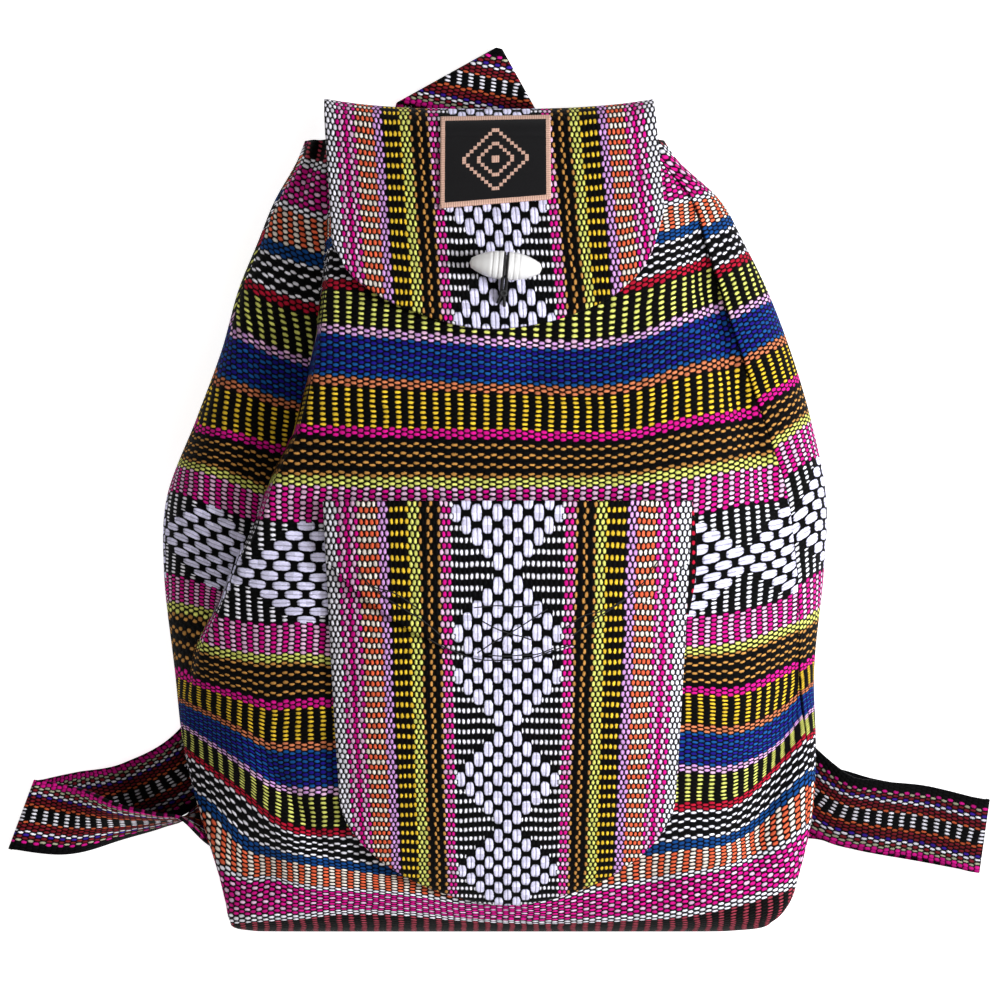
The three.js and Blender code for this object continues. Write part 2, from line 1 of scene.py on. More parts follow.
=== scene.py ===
import math
import bmesh
import bpy
import numpy as np
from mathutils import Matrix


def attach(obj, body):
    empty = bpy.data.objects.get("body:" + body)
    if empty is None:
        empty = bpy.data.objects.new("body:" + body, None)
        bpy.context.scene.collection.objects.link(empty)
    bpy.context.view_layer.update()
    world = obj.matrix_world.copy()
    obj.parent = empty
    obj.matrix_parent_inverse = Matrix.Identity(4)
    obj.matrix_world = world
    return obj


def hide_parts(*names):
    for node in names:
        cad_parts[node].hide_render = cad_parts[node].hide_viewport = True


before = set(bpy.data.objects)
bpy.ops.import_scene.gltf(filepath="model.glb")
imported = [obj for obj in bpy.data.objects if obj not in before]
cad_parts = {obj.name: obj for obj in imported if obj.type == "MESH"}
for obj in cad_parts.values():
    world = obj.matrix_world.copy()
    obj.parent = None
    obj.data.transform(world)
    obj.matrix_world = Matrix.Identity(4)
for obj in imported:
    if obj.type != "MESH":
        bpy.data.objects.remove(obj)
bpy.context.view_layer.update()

# A handwoven backpack lies on its back and is seen from straight above. Lengths are
# millimetres until they go into a mesh. X is the width, Y runs to the top of the bag,
# and Z is up, out of the bag's front.
MM = 0.001

# Sizes, nearly all as the solids have them
BAG_WIDTH, BAG_LENGTH, BAG_DEPTH = 363.0, 437.0, 112.0
BASE_Y = -244.0
CLOTH, GAP = 2.2, 0.4
RUFFLES, RUFFLE_HEIGHT = 9, 2.4
BACK_FLAT = 0.07
BAND_WIDTH, BAND = 41.0, 1.8
BACK_Z = BAND + 2 * GAP + CLOTH / 2
FLAP_WIDTH, FLAP_LENGTH, FLAP_REACH, FLAP_BULGE = 181.0, 117.5, 11.6, 4.0
FLAP_SHIFT, FLAP_SLANT, FLAP_LIFT, FLAP_BACK_RISE = -4.0, 0.075, 2.6, 1.8
FLAP_EDGE_REACH, FLAP_HORN = 0.84, 6.2
FLAP_ROUND, FLAP_ROUND_DROP = 19.0, 20.0
FLAP_ROOT_Y = BASE_Y + BAG_LENGTH + GAP
FLAP_FOLD_Y = FLAP_ROOT_Y + FLAP_REACH
POCKET_WIDTH, POCKET_FOOT_WIDTH, POCKET_LENGTH = 196.0, 176.0, 221.0
POCKET_CORNER, POCKET_X, POCKET_TOP_Y, POCKET_BULGE = 58.0, 6.0, -5.0, 9.0
POCKET_FLAP_LENGTH, POCKET_FLAP_RISE, POCKET_FLAP_CURVE = 84.0, 42.0, 2.2
POCKET_ROUND = 1.75
LABEL_WIDTH, LABEL_HEIGHT, LABEL_THICKNESS = 60.0, 51.0, 1.4
LABEL_X, LABEL_TOP_SETBACK = -0.5, 0.4
TOGGLE_LENGTH, TOGGLE_RADIUS, TOGGLE_X = 39.0, 7.8, 5.0
TOGGLE_SETBACK, TOGGLE_TURN = 84.0, -5.0
LOOP_CORD, LOOP_TAIL = 2.4, 7.5
LOOP_STRAND = LOOP_CORD * 0.36
STRAP_TURN_RADIUS, STRAP_END_TRIM, HANDLE_TURN_RADIUS = 3.4, 0.6, 1.4

# The weave: one warp thread and one pick of weft
WARP = 1.3
PICK = 3.4
POCKET_PICK = 3.0
BAND_PICK, POCKET_FLAP_PICK = 3.25, 3.2
# From the top of each piece down to a waist between two diamonds
FLAP_WAIST, POCKET_WAIST, POCKET_FLAP_WAIST = 104.0, 124.0, 38.5


def table(names, *rows):
    """Rows of values, each under its name."""
    return [dict(zip(names.split(), row)) for row in rows]


SACK_SECTIONS = table(
    "at left right crown side square lift",
    (0.0, 0.735, 0.7, 0.038, 0.5, 9.0, 0),
    (0.004, 0.79, 0.79, 0.13, 0.49, 6.8, 0),
    (0.014, 0.81, 0.84, 0.235, 0.48, 5.8, 0),
    (0.035, 0.82, 0.885, 0.34, 0.47, 4.9, 0),
    (0.073, 0.84, 0.915, 0.45, 0.45, 4.2, 0),
    (0.147, 0.892, 0.952, 0.61, 0.43, 3.5, 0),
    (0.234, 0.941, 0.962, 0.77, 0.42, 3.1, 0),
    (0.33, 0.966, 0.955, 0.9, 0.41, 2.9, 0),
    (0.47, 1.0, 0.985, 0.99, 0.4, 2.8, 0),
    (0.55, 0.99, 0.99, 1.0, 0.4, 2.8, 0),
    (0.65, 0.9, 0.943, 0.965, 0.4, 2.7, 0),
    (0.735, 0.826, 0.883, 0.88, 0.41, 2.7, 0),
    (0.814, 0.774, 0.811, 0.78, 0.42, 2.7, 0),
    (0.87, 0.72, 0.745, 0.7, 0.43, 2.7, 0.003),
    (0.924, 0.668, 0.674, 0.61, 0.44, 2.7, 0.014),
    (0.975, 0.6, 0.545, 0.52, 0.46, 2.8, 0.0214),
    (1.0, 0.577, 0.505, 0.47, 0.48, 2.8, 0.0214),
)
SIDE_SEAMS = table(
    "at right left",
    (0.0, 8, 172),
    (0.07, 12, 173),
    (0.3, 20, 172),
    (0.55, 34, 170),
    (0.8, 40, 168),
    (1.0, 30, 166),
)
FOLDS = table(
    "x0 at0 x1 at1 depth width",
    (0.62, 0.86, 0.85, 0.52, 0.07, 0.045),
    (0.95, 0.36, 0.77, 0.13, 0.1, 0.045),
    (-0.9, 0.26, -0.72, 0.09, 0.07, 0.045),
    (-0.4, 0.1, 0.45, 0.075, 0.05, 0.04),
    (0.12, 0.72, 0.56, 0.76, 0.07, 0.05),
)
FLAP_EDGE = table(
    "across length",
    (0.0, 0.66),
    (0.04, 0.77),
    (0.12, 0.86),
    (0.25, 0.94),
    (0.42, 1.0),
    (0.58, 0.985),
    (0.72, 0.93),
    (0.86, 0.83),
    (0.95, 0.69),
    (1.0, 0.5),
)
TOGGLE_PROFILE = [
    (0.0, 0.66), (0.06, 0.66), (0.075, 1.0), (0.18, 0.99), (0.2, 0.95), (0.23, 0.95),
    (0.25, 0.97), (0.34, 0.95), (0.36, 0.91), (0.39, 0.91), (0.41, 0.92), (0.62, 0.76),
    (0.82, 0.54), (0.95, 0.34), (1.0, 0.0),
]
# The deep fold down the left, where the front lies over a second lobe. At each height
# in frame steps: the place of its crisp edge, and its depth.
LOBE_FOLD = table(
    "at x depth",
    (150, 332, 3),
    (230, 330, 10),
    (290, 325, 19),
    (345, 318, 24),
    (436, 297, 24),
    (480, 276, 22),
    (530, 257, 20),
    (558, 242, 19),
    (600, 225, 16),
    (645, 201, 10),
    (680, 193, 5),
    (720, 180, 0),
    (760, 170, 0),
)
LOBE_WALL, LOBE_SPREAD, LOBE_FOOT = 3.5, 40.0, 720
STRAP_LEFT = table(
    "x y z heading tilt",
    (-24, 158, 0.9, 158, 0),
    (-54, 84, 0.9, 158, 0),
    (-92, -8, 0.9, 156, 0),
    (-128, -84, 0.9, 151, 0),
    (-160, -144, 0.9, 136, 4),
    (-198, -169, 1.0, 119, 8),
    (-234, -177, 1.2, 93, 6),
    (-261, -180, 3.0, 70, 0),
)
STRAP_LEFT_RETURN = table(
    "x y z heading tilt",
    (-258, -181, 11.0, 70, 0),
    (-237, -183, 9.5, 75, 18),
    (-211, -183, 7.0, 84, 56),
    (-187, -182, 4.0, 90, 76),
    (-172, -180.5, 1.8, 94, 90),
    (-154, -180, 1.0, 86, 150),
    (-130, -183, 0.9, 56, 178),
    (-114, -202, 0.9, 34, 180),
    (-104, -226, 0.9, 22, 180),
)
STRAP_RIGHT = table(
    "x y z heading tilt",
    (24, 158, 0.9, 22, 0),
    (54, 84, 0.9, 22, 0),
    (90, -6, 0.9, 23, 0),
    (122, -90, 0.9, 26, 0),
    (150, -142, 3.6, 38, 6),
    (184, -173, 6.4, 62, 18),
    (210, -180.5, 10.0, 80, 10),
    (238, -184.3, 9.4, 83, 0),
    (268, -191.5, 8.6, 82, 0),
)
STRAP_RIGHT_RETURN = table(
    "x y z heading tilt",
    (265, -192.5, 1.8, 82, 0),
    (238, -186, 1.2, 82, 0),
    (207, -180.5, 0.9, 78, 0),
    (182, -174, 0.9, 76, 0),
    (160, -175, 0.9, 106, 0),
    (143, -193, 0.9, 142, 0),
    (130, -219, 0.9, 152, 0),
)

# How the stripes hang. Each row is one warp thread, counted from the middle of the
# brocade, and its heights at the named stations, in steps of 0.55 mm from the upper left
# of the frame.
STEP, STEP_X, STEP_Y = 0.55, 496.5, 491.5
FRONT_STATIONS = (185, 215, 245, 275, 300, 335, 400, 500, 620, 680, 735, 780, 810)
FRONT_DRAPE = [
    (170, (90, 105, 125, 145, 159, 172, 178, 180, 172, 160, 140, 118, 105)),
    (152.5, (150, 168, 185, 200, 211, 216, 222, 224, 215, 203, 185, 165, 150)),
    (136.5, (195, 215, 232, 248, 252, 245, 250, 250, 247, 233, 200, 175, 160)),
    (118, (235, 255, 277, 287, 287, 287, 291, 293, 291, 273, 250, 225, 205)),
    (99, (320, 326, 328, 330, 330, 332, 338, 345, 343, 321, 303, 290, 280)),
    (58, (425, 428, 430, 430, 430, 431, 433, 435, 436, 424, 416, 408, 402)),
    (38, (462, 470, 476, 478, 480, 481, 482, 482, 480, 473, 464, 458, 454)),
    (0, (545, 560, 570, 574, 575, 575, 574, 573, 573, 571, 560, 551, 530)),
    (-38, (635, 648, 654, 656, 654, 656, 654, 652, 650, 648, 644, 629, 618)),
    (-58, (676, 685, 694, 702, 700, 698, 695, 692, 688, 686, 687, 670, 656)),
    (-88.5, (712, 727, 745, 763, 764, 763, 759, 753, 746, 743, 745, 726, 690)),
    (-118, (747, 768, 789, 815, 828, 829, 826, 819, 811, 803, 797, 759, 726)),
    (-136.5, (792, 809, 842, 852, 857, 862, 870, 858, 850, 842, 834, 800, 770)),
    (-152.5, (850, 866, 880, 878, 884, 887, 892, 904, 884, 873, 863, 846, 821)),
    (-170, (926, 925, 922, 919, 917, 912, 912, 923, 919, 914, 903, 890, 878)),
]
# And on the lobe to the left of the fold
LOBE_STATIONS = (165, 185, 215, 245, 275, 300, 325)
LOBE_DRAPE = [
    (170, (80, 90, 105, 125, 145, 159, 168)),
    (152.5, (140, 150, 168, 185, 200, 211, 219)),
    (136.5, (185, 195, 215, 232, 248, 256, 262)),
    (118, (225, 235, 258, 280, 297, 306, 312)),
    (99, (308, 316, 326, 336, 352, 360, 368)),
    (58, (420, 425, 432, 438, 447, 452, 456)),
    (38, (456, 462, 470, 481, 493, 500, 505)),
    (0, (530, 536, 550, 562, 572, 580, 585)),
    (-38, (603, 606, 612, 625, 640, 655, 665)),
    (-58, (670, 676, 685, 694, 702, 704, 706)),
    (-88.5, (706, 712, 727, 745, 763, 764, 763)),
    (-118, (740, 747, 768, 789, 815, 828, 829)),
    (-136.5, (785, 792, 809, 842, 852, 857, 862)),
    (-152.5, (842, 850, 866, 880, 878, 884, 887)),
    (-170, (926, 926, 925, 922, 919, 917, 912)),
]
# The same for the back panel. Its stations past 820 run on under the bag, and the last
# is its left edge.
UNDER_STATION, UNDER_RUN = 820, 50
BACK_STATIONS = (690, 720, 750, 780, 820, 870, 920)
BACK_DRAPE = [
    (170, (150, 140, 128, 115, 100, 100, 100)),
    (152.5, (203, 190, 175, 160, 140, 145, 150)),
    (136.5, (240, 225, 208, 190, 170, 182, 195)),
    (118, (288, 272, 254, 236, 215, 225, 235)),
    (99, (340, 322, 306, 290, 268, 294, 320)),
    (58, (440, 422, 405, 388, 367, 395, 424)),
    (38, (490, 474, 455, 435, 411, 437, 462)),
    (0, (590, 570, 551, 534, 513, 525, 538)),
    (-38, (690, 672, 655, 637, 612, 609, 607)),
    (-58, (735, 716, 698, 680, 656, 666, 676)),
    (-88.5, (790, 770, 750, 725, 690, 702, 714)),
    (-118, (830, 810, 790, 765, 726, 738, 750)),
    (-136.5, (860, 845, 830, 805, 770, 782, 795)),
    (-152.5, (885, 875, 865, 846, 821, 835, 850)),
    (-170, (920, 912, 905, 893, 880, 902, 926)),
]


def spline(rows, key="at"):
    """Smooth values between the rows of a table, as the solids have them."""
    t = np.array([row[key] for row in rows], float)
    names = [name for name in rows[0] if name != key]
    values = np.array([[row[name] for name in names] for row in rows], float)
    last = len(t) - 1

    def at(place):
        place = np.clip(np.asarray(place, float), t[0], t[-1])
        i = np.clip(np.searchsorted(t, place, side="right") - 1, 0, last - 1)
        t0, t1 = t[i], t[i + 1]
        before = np.where(i > 0, i - 1, i + 1)
        after = np.where(i + 2 <= last, np.minimum(i + 2, last), i)
        t_before = np.where(i > 0, t[before], t1)
        t_after = np.where(i + 2 <= last, t[after], t0)
        half = (t1 - t0) / 2
        wp, wn = half / (t0 - t_before), half / (t_after - t1)
        p = (place - t0) / (t1 - t0)
        sp = -wp * p**3 + 2 * wp * p**2 - wp * p
        s0 = (1 + wp) * p**3 + (-1.5 - 2 * wp) * p**2 + (-0.5 + wp) * p + 1
        s1 = (-1 - wn) * p**3 + (1.5 + wn) * p**2 + 0.5 * p
        sn = wn * p**3 - wn * p**2
        found = (
            sp[..., None] * values[before]
            + s0[..., None] * values[i]
            + s1[..., None] * values[i + 1]
            + sn[..., None] * values[after]
        )
        return {name: found[..., k] for k, name in enumerate(names)}

    return at


def smoothstep(x, low, high):
    s = np.clip((x - low) / (high - low), 0, 1)
    return s * s * (3 - 2 * s)


sack_section = spline(SACK_SECTIONS)
side_seams = spline(SIDE_SEAMS)
flap_edge = spline(FLAP_EDGE, "across")
lobe_fold = spline(LOBE_FOLD)


def lobe_drop(x, y):
    """How far the fold down the left lowers the cloth: a wall, then a long rise."""
    f = lobe_fold(STEP_Y - y / STEP)
    away = (x - (f["x"] - STEP_X) * STEP) * 0.9
    left = np.exp(-((np.minimum(away, 0) / LOBE_SPREAD) ** 2))
    right = 1 - smoothstep(away, 0, LOBE_WALL)
    return np.maximum(f["depth"], 0) * np.where(away < 0, left, right)


def fold_depth(x, at):
    total = np.zeros(np.broadcast(x, at).shape)
    y = at * BAG_LENGTH
    for f in FOLDS:
        ax, ay = f["x0"] * BAG_WIDTH / 2, f["at0"] * BAG_LENGTH
        rx, ry = f["x1"] * BAG_WIDTH / 2 - ax, f["at1"] * BAG_LENGTH - ay
        share = np.clip(((x - ax) * rx + (y - ay) * ry) / (rx * rx + ry * ry), 0, 1)
        away = np.hypot(x - ax - rx * share, y - ay - ry * share)
        total += f["depth"] * BAG_DEPTH * np.exp(-((away / (f["width"] * BAG_WIDTH)) ** 2))
    return total


def sack_point(turn, at):
    f = sack_section(at)
    c, s = np.cos(turn), np.sin(turn)
    reach = np.where(c > 0, f["right"], f["left"]) * BAG_WIDTH / 2
    x = np.sign(c) * reach * np.abs(c) ** (2 / f["square"])
    back = BACK_Z + f["lift"] * BAG_DEPTH
    side = back + f["side"] * f["crown"] * BAG_DEPTH
    gathered = smoothstep(at, 0.84, 1)
    up = np.clip(s, 0, 1)
    top = (
        side
        + (1 - f["side"]) * f["crown"] * BAG_DEPTH * up
        - (fold_depth(x, at) + lobe_drop(x, BASE_Y + at * BAG_LENGTH)) * np.sqrt(up)
        + RUFFLE_HEIGHT * gathered * up * np.cos(RUFFLES * 2 * turn) * (1.3 + 0.6 * np.sin(5 * turn))
    )
    drop = (side - back) * (1 + BACK_FLAT) * np.abs(s) ** 0.8
    z = np.where(s < 0, np.maximum(back, side - drop), top)
    return np.stack([x, BASE_Y + at * BAG_LENGTH + 0 * x, z], -1)


def front_height(x, y):
    f = sack_section(np.clip((y - BASE_Y) / BAG_LENGTH, 0, 1))
    reach = np.where(x > 0, f["right"], f["left"]) * BAG_WIDTH / 2
    share = np.minimum(1, np.abs(x) / reach) ** f["square"]
    rise = f["crown"] * (f["side"] + (1 - f["side"]) * np.sqrt(1 - share))
    return BACK_Z + (f["lift"] + rise) * BAG_DEPTH


def flap_height(x, y):
    top = np.minimum(y, BASE_Y + BAG_LENGTH)
    return front_height(x * FLAP_EDGE_REACH, top) + CLOTH + GAP + FLAP_LIFT


def arc(points, axis):
    """Length run through a grid of points along one axis, from its start."""
    steps = np.linalg.norm(np.diff(points, axis=axis), axis=-1)
    zero = np.zeros_like(np.take(steps, [0], axis=axis))
    return np.cumsum(np.concatenate([zero, steps], axis=axis), axis=axis)


def hang(x, y, stations, drape, points):
    """Which warp thread lies at each place, from how the stripes hang."""
    px, py = x / STEP + STEP_X, STEP_Y - y / STEP
    rows = [dict(at=s, **{str(k): line[1][i] for k, line in enumerate(drape)})
            for i, s in enumerate(stations)]
    found = spline(rows)(px)
    heights = np.stack([found[str(k)] for k in range(len(drape))], -1)
    threads = np.array([line[0] for line in drape], float)
    warp = threads[0] + (heights[..., 0] - py) * STEP / WARP
    for k in range(len(drape) - 1):
        low, high = heights[..., k], heights[..., k + 1]
        share = (py - low) / np.maximum(high - low, 1e-6)
        here = (py >= low) & (py < high)
        warp = np.where(here, threads[k] + share * (threads[k + 1] - threads[k]), warp)
    # Past the last row the cloth turns under, so its threads are counted by length.
    run = arc(points, 0)
    for j in range(x.shape[1]):
        end = np.interp(0, (heights[:, j, -1] - py[:, j]), run[:, j])
        below = py[:, j] >= heights[:, j, -1]
        warp[below, j] = threads[-1] - (end - run[below, j]) / WARP
    return warp


def linear(code):
    """An sRGB hex colour as linear values."""
    parts = [int(code[i:i + 2], 16) / 255 for i in (1, 3, 5)]
    return [p / 12.92 if p <= 0.04045 else ((p + 0.055) / 1.055) ** 2.4 for p in parts] + [1]


def painter(name):
    """A new material and what adds one node to it: of any kind, a sum, or a blend of dyes."""
    material = bpy.data.materials.new(name)
    material.use_nodes = True
    tree = material.node_tree
    tree.nodes.clear()

    def node(kind, *inputs, out=0, named=None, **settings):
        made = tree.nodes.new("ShaderNode" + kind)
        for key, value in settings.items():
            setattr(made, key, value)
        pairs = list(zip(made.inputs, inputs))
        pairs += [(made.inputs[key], value) for key, value in (named or {}).items()]
        for socket, value in pairs:
            if isinstance(value, bpy.types.NodeSocket):
                tree.links.new(value, socket)
            elif value is not None:
                socket.default_value = value
        return made.outputs[out] if made.outputs else made

    def calc(operation, *inputs):
        return node("Math", *inputs, operation=operation)

    def blend(share, low, high, **settings):
        between = [None] * 5
        return node("Mix", share, *between, low, high, data_type="RGBA", out=2, **settings)

    return material, node, calc, blend


def ramp(socket, stops):
    """Fills a colour ramp with (place, colour) steps."""
    ramp_node = socket.node
    elements = ramp_node.color_ramp.elements
    ramp_node.color_ramp.interpolation = "CONSTANT"
    while len(elements) > 1:
        elements.remove(elements[-1])
    elements[0].position, elements[0].color = stops[0]
    for place, colour in stops[1:]:
        elements.new(place).color = colour


RAMP_THREADS = 256.0
# Threads from the middle of the brocade to its edge, and rows from a waist to the middle
BROCADE_THREADS, DIAMOND_ROWS = 22, 5.0


def diamond(calc, row):
    """How many floats reach out from the middle in a row of the brocade."""
    count = calc("ADD", row, DIAMOND_ROWS)
    count = calc("FLOORED_MODULO", count, 2 * DIAMOND_ROWS)
    count = calc("SUBTRACT", count, DIAMOND_ROWS)
    return calc("ABSOLUTE", count)


def woven(name, bands, painted_darkening=0.0, cells=True, seed=1.0):
    """Warp-faced plain weave. Each band is its count of warp threads, two colours, how
    many threads repeat, the first half of them in the first colour, and how wide the
    yarn lies as a share of its room."""
    material, node, calc, blend = painter(name)
    uv = node("UVMap", uv_map="threads")
    drift = node("TexNoise", uv, None, 0.07, 2.0, 0.5, out=1, noise_dimensions="2D")
    shift = node("VectorMath", drift, (0.5, 0.5, 0.5), operation="SUBTRACT")
    shift = node("VectorMath", shift, (0.8, 1.3, 0.0), operation="MULTIPLY")
    place = node("VectorMath", uv, shift, operation="ADD")
    # Loose fibres fray the outline of each float.
    fuzz = node("TexNoise", uv, None, 1.7, 2.0, 0.6, out=1, noise_dimensions="2D")
    fuzz = node("VectorMath", fuzz, (0.5, 0.5, 0.5), operation="SUBTRACT")
    fuzz = node("VectorMath", fuzz, (0.2, 0.55, 0.0), operation="MULTIPLY")
    place = node("VectorMath", place, fuzz, operation="ADD")
    pick = node("SeparateXYZ", place)
    warp = node("SeparateXYZ", place, out=1)
    # The float that shows at a place: odd threads in odd picks, even ones in even.
    column = calc("FLOOR", pick)
    odd = calc("FLOORED_MODULO", column, 2.0)
    near = calc("SUBTRACT", warp, odd)
    near = calc("MULTIPLY", near, 0.5)
    near = calc("ROUND", near)
    thread = calc("MULTIPLY_ADD", near, 2.0, odd)
    spot = node("CombineXYZ", thread, column, seed)
    chance = node("TexWhiteNoise", spot, noise_dimensions="3D")
    # Its colour comes from the thread's number.
    number = calc("ABSOLUTE", thread)
    share = calc("ADD", number, 0.5)
    share = calc("DIVIDE", share, RAMP_THREADS)
    first, second = node("ValToRGB", share), node("ValToRGB", share)
    starts = np.cumsum([0] + [band[0] for band in bands])
    ramp(first, [(s / RAMP_THREADS, linear(band[1])[:3] + [band[3] / 4])
                 for s, band in zip(starts, bands)])
    ramp(second, [(s / RAMP_THREADS, linear(band[2])[:3] + [band[4]])
                  for s, band in zip(starts, bands)])
    repeat = calc("MULTIPLY", first.node.outputs[1], 4.0)
    along = calc("MODULO", number, repeat)
    half = calc("MULTIPLY", repeat, 0.5)
    half = calc("FLOOR", half)
    turn = calc("ADD", along, 0.25)
    turn = calc("GREATER_THAN", turn, half)
    colour = blend(turn, first, second)
    # The float is a low dome, wide in the middle and drawn in at its ends.
    width = node("MapRange", chance, 0.0, 1.0, 0.82, 1.04)
    width = calc("MULTIPLY", width, second.node.outputs[1])
    aside = calc("SUBTRACT", warp, thread)
    aside = calc("ABSOLUTE", aside)
    aside = calc("DIVIDE", aside, width)
    aside = calc("POWER", aside, 2.2)
    down = calc("SUBTRACT", pick, column)
    down = calc("MULTIPLY_ADD", down, 2.0, -1.0)
    down = calc("ABSOLUTE", down)
    down = calc("POWER", down, 2.6)
    edge = calc("ADD", aside, down)
    dome = node("Math", 1.0, edge, operation="SUBTRACT", use_clamp=True)
    dome = calc("POWER", dome, 0.5)
    height = dome
    if cells:
        # Brocade: white floats two threads wide and three picks long, set out as diamonds.
        row = calc("MULTIPLY", pick, 0.5)
        mid = calc("ROUND", row)
        off = calc("SUBTRACT", row, mid)
        lane = calc("MULTIPLY", warp, 0.25)
        slot = calc("ROUND", lane)
        beside = calc("SUBTRACT", lane, slot)
        beside = calc("ABSOLUTE", beside)
        # The two plies of a white float part along its middle, a groove that the painted shade below
        # darkens.
        split = node("MapRange", beside, 0.0, 0.14, 0.45, 1.0)
        beside = calc("DIVIDE", beside, 0.47)
        beside = calc("POWER", beside, 3.2)
        reach = calc("ABSOLUTE", slot)
        own = diamond(calc, mid)
        wrong = calc("ADD", own, slot)
        wrong = calc("FLOORED_MODULO", wrong, 2.0)
        side = calc("SIGN", off)
        other = calc("MULTIPLY_ADD", side, wrong, mid)
        count = diamond(calc, other)
        room = calc("ADD", count, 0.5)
        inside = calc("LESS_THAN", reach, room)
        own_room = calc("ADD", own, 0.5)
        own_inside = calc("LESS_THAN", reach, own_room)
        along = calc("SUBTRACT", row, other)
        along = calc("ABSOLUTE", along)
        along = calc("DIVIDE", along, 0.75)
        along = calc("POWER", along, 2.8)
        bulge = calc("ADD", beside, along)
        bulge = node("Math", 1.0, bulge, operation="SUBTRACT", use_clamp=True)
        bulge = calc("POWER", bulge, 0.4)
        bulge = calc("MULTIPLY", bulge, split)
        bulge = calc("MULTIPLY", bulge, inside)
        middle = calc("LESS_THAN", number, BROCADE_THREADS - 0.5)
        figure = calc("MAXIMUM", inside, own_inside)
        figure = calc("MULTIPLY", figure, middle)
        # The white floats stand higher, which also brightens their painted highlight.
        raised = calc("MULTIPLY", bulge, 1.25)
        height = node("Mix", figure, None, dome, raised, data_type="FLOAT")
        white = calc("GREATER_THAN", bulge, 0.02)
        cell = blend(white, linear("#050508"), linear("#dcdaf6"))
        colour = blend(figure, colour, cell)
    # No two floats take the dye alike, and painted shade darkens the yarn where it dips, with a painted
    # highlight on each float's crown.
    strand = node("TexWhiteNoise", None, thread, noise_dimensions="1D")
    shade = node("MapRange", chance, 0.0, 1.0, 1.12, 0.74)
    strand = node("MapRange", strand, 0.0, 1.0, 0.9, 1.05)
    shade = calc("MULTIPLY", shade, strand)
    stretch = node("VectorMath", uv, (2.0, 7.0, 1.0), operation="MULTIPLY")
    fibre = node("TexNoise", stretch, None, 1.0, 3.0, 0.6, noise_dimensions="2D")
    fluff = node("MapRange", fibre, 0.3, 0.7, 0.74, 1.12)
    shade = calc("MULTIPLY", shade, fluff)
    # Painted shade between the floats and a painted highlight on their crowns: the colour follows each
    # float's height.
    painted_float_light = node("MapRange", height, 0.15, 0.95, 0.01, 1.2)
    shade = calc("MULTIPLY", shade, painted_float_light)
    # The whole material is darkened by this share: painted shade on a copy of the same cloth.
    if painted_darkening:
        shade = calc("MULTIPLY", shade, 1 - painted_darkening)
    tint = node("CombineColor", shade, shade, shade)
    colour = blend(1.0, colour, tint, blend_type="MULTIPLY")
    rough = calc("MULTIPLY_ADD", fibre, 0.08, height)
    bump = node("Bump", 0.7, 0.0007, None, rough)
    shader = node("BsdfPrincipled", named={
        "Base Color": colour, "Roughness": 0.82, "Normal": bump,
        "Specular IOR Level": 0.08,
    })
    node("OutputMaterial", shader)
    return material


MAGENTA, PINK, LIME, GOLD = "#d6148a", "#ecbfe0", "#dadd70", "#ebc334"
ORANGE, BLUE, RED, TAN = "#ee6844", "#134f92", "#b01430", "#c08a46"
DARK, WHITE, DEEP_BLUE, MAROON = "#040303", "#f6f5ff", "#124688", "#a43a4c"
BLACK, LILAC, PURPLE, RED_BROWN, GREEN_TAN = "#040406", "#d8a0e2", "#3a1c94", "#7c1a26", "#b4b498"
INDIGO, CREAM, RUST, SALMON = "#1b1480", "#f6ece0", "#c85a34", "#d07a52"

# Count of threads, first and second colour, repeat and width of the yarn, from the
# middle outwards
BODY_BANDS = [
    (22, WHITE, BLACK, 2, 0.74), (14, MAGENTA, PINK, 2, 0.8), (4, LIME, LIME, 2, 0.74),
    (16, TAN, DARK, 4, 0.66), (4, MAGENTA, MAGENTA, 2, 0.88), (16, GOLD, DARK, 2, 0.72),
    (4, SALMON, SALMON, 2, 0.76), (17, BLUE, INDIGO, 4, 0.86), (4, PINK, LILAC, 2, 0.76),
    (15, LIME, DARK, 2, 0.7), (4, RED, RED, 2, 0.86), (14, WHITE, BLACK, 4, 0.7),
    (5, DEEP_BLUE, DEEP_BLUE, 2, 0.86), (12, ORANGE, CREAM, 2, 0.78),
    (3, WHITE, WHITE, 2, 0.72), (14, PINK, MAGENTA, 3, 0.8), (4, WHITE, WHITE, 2, 0.72),
    (60, MAROON, DARK, 2, 0.74),
]
PANEL_BANDS = [
    (23, WHITE, BLACK, 2, 0.76), (4, PINK, MAGENTA, 2, 0.84), (8, DARK, TAN, 4, 0.68),
    (4, LIME, LIME, 2, 0.76), (8, DARK, GOLD, 2, 0.74), (4, LILAC, LILAC, 2, 0.78),
    (8, CREAM, ORANGE, 2, 0.78), (8, PINK, MAGENTA, 4, 0.84), (40, WHITE, WHITE, 2, 0.76),
]
# The band is listed from its magenta edge to its black one.
WEBBING_BANDS = [
    (1, BLACK, BLACK, 2, 1.0), (3, MAGENTA, MAGENTA, 2, 1.3), (2, GREEN_TAN, GREEN_TAN, 2, 0.72),
    (1, RED_BROWN, RED_BROWN, 2, 0.9), (2, WHITE, WHITE, 2, 0.72), (1, PURPLE, PURPLE, 2, 0.9),
    (4, RED_BROWN, RED_BROWN, 2, 0.8), (2, RUST, RUST, 2, 0.74), (8, BLACK, WHITE, 2, 0.7),
    (1, RUST, RUST, 2, 0.74), (4, RED_BROWN, RED_BROWN, 2, 0.8), (2, WHITE, WHITE, 2, 0.72),
    (1, PURPLE, PURPLE, 2, 0.9), (1, RED_BROWN, RED_BROWN, 2, 0.9),
    (2, GREEN_TAN, RED_BROWN, 2, 0.72), (1, MAGENTA, MAGENTA, 2, 0.9), (40, BLACK, BLACK, 2, 1.0),
]
# Red threads of the cloth in the pocket's gap, between near-black ones that are painted shade.
LINING_BANDS = [(40, RED, DARK, 3, 0.8)]
PANEL_THREADS, BAND_THREADS = 71.5, 40.0


def add_object(name, data):
    obj = bpy.data.objects.new(name, data)
    bpy.context.scene.collection.objects.link(obj)
    return obj


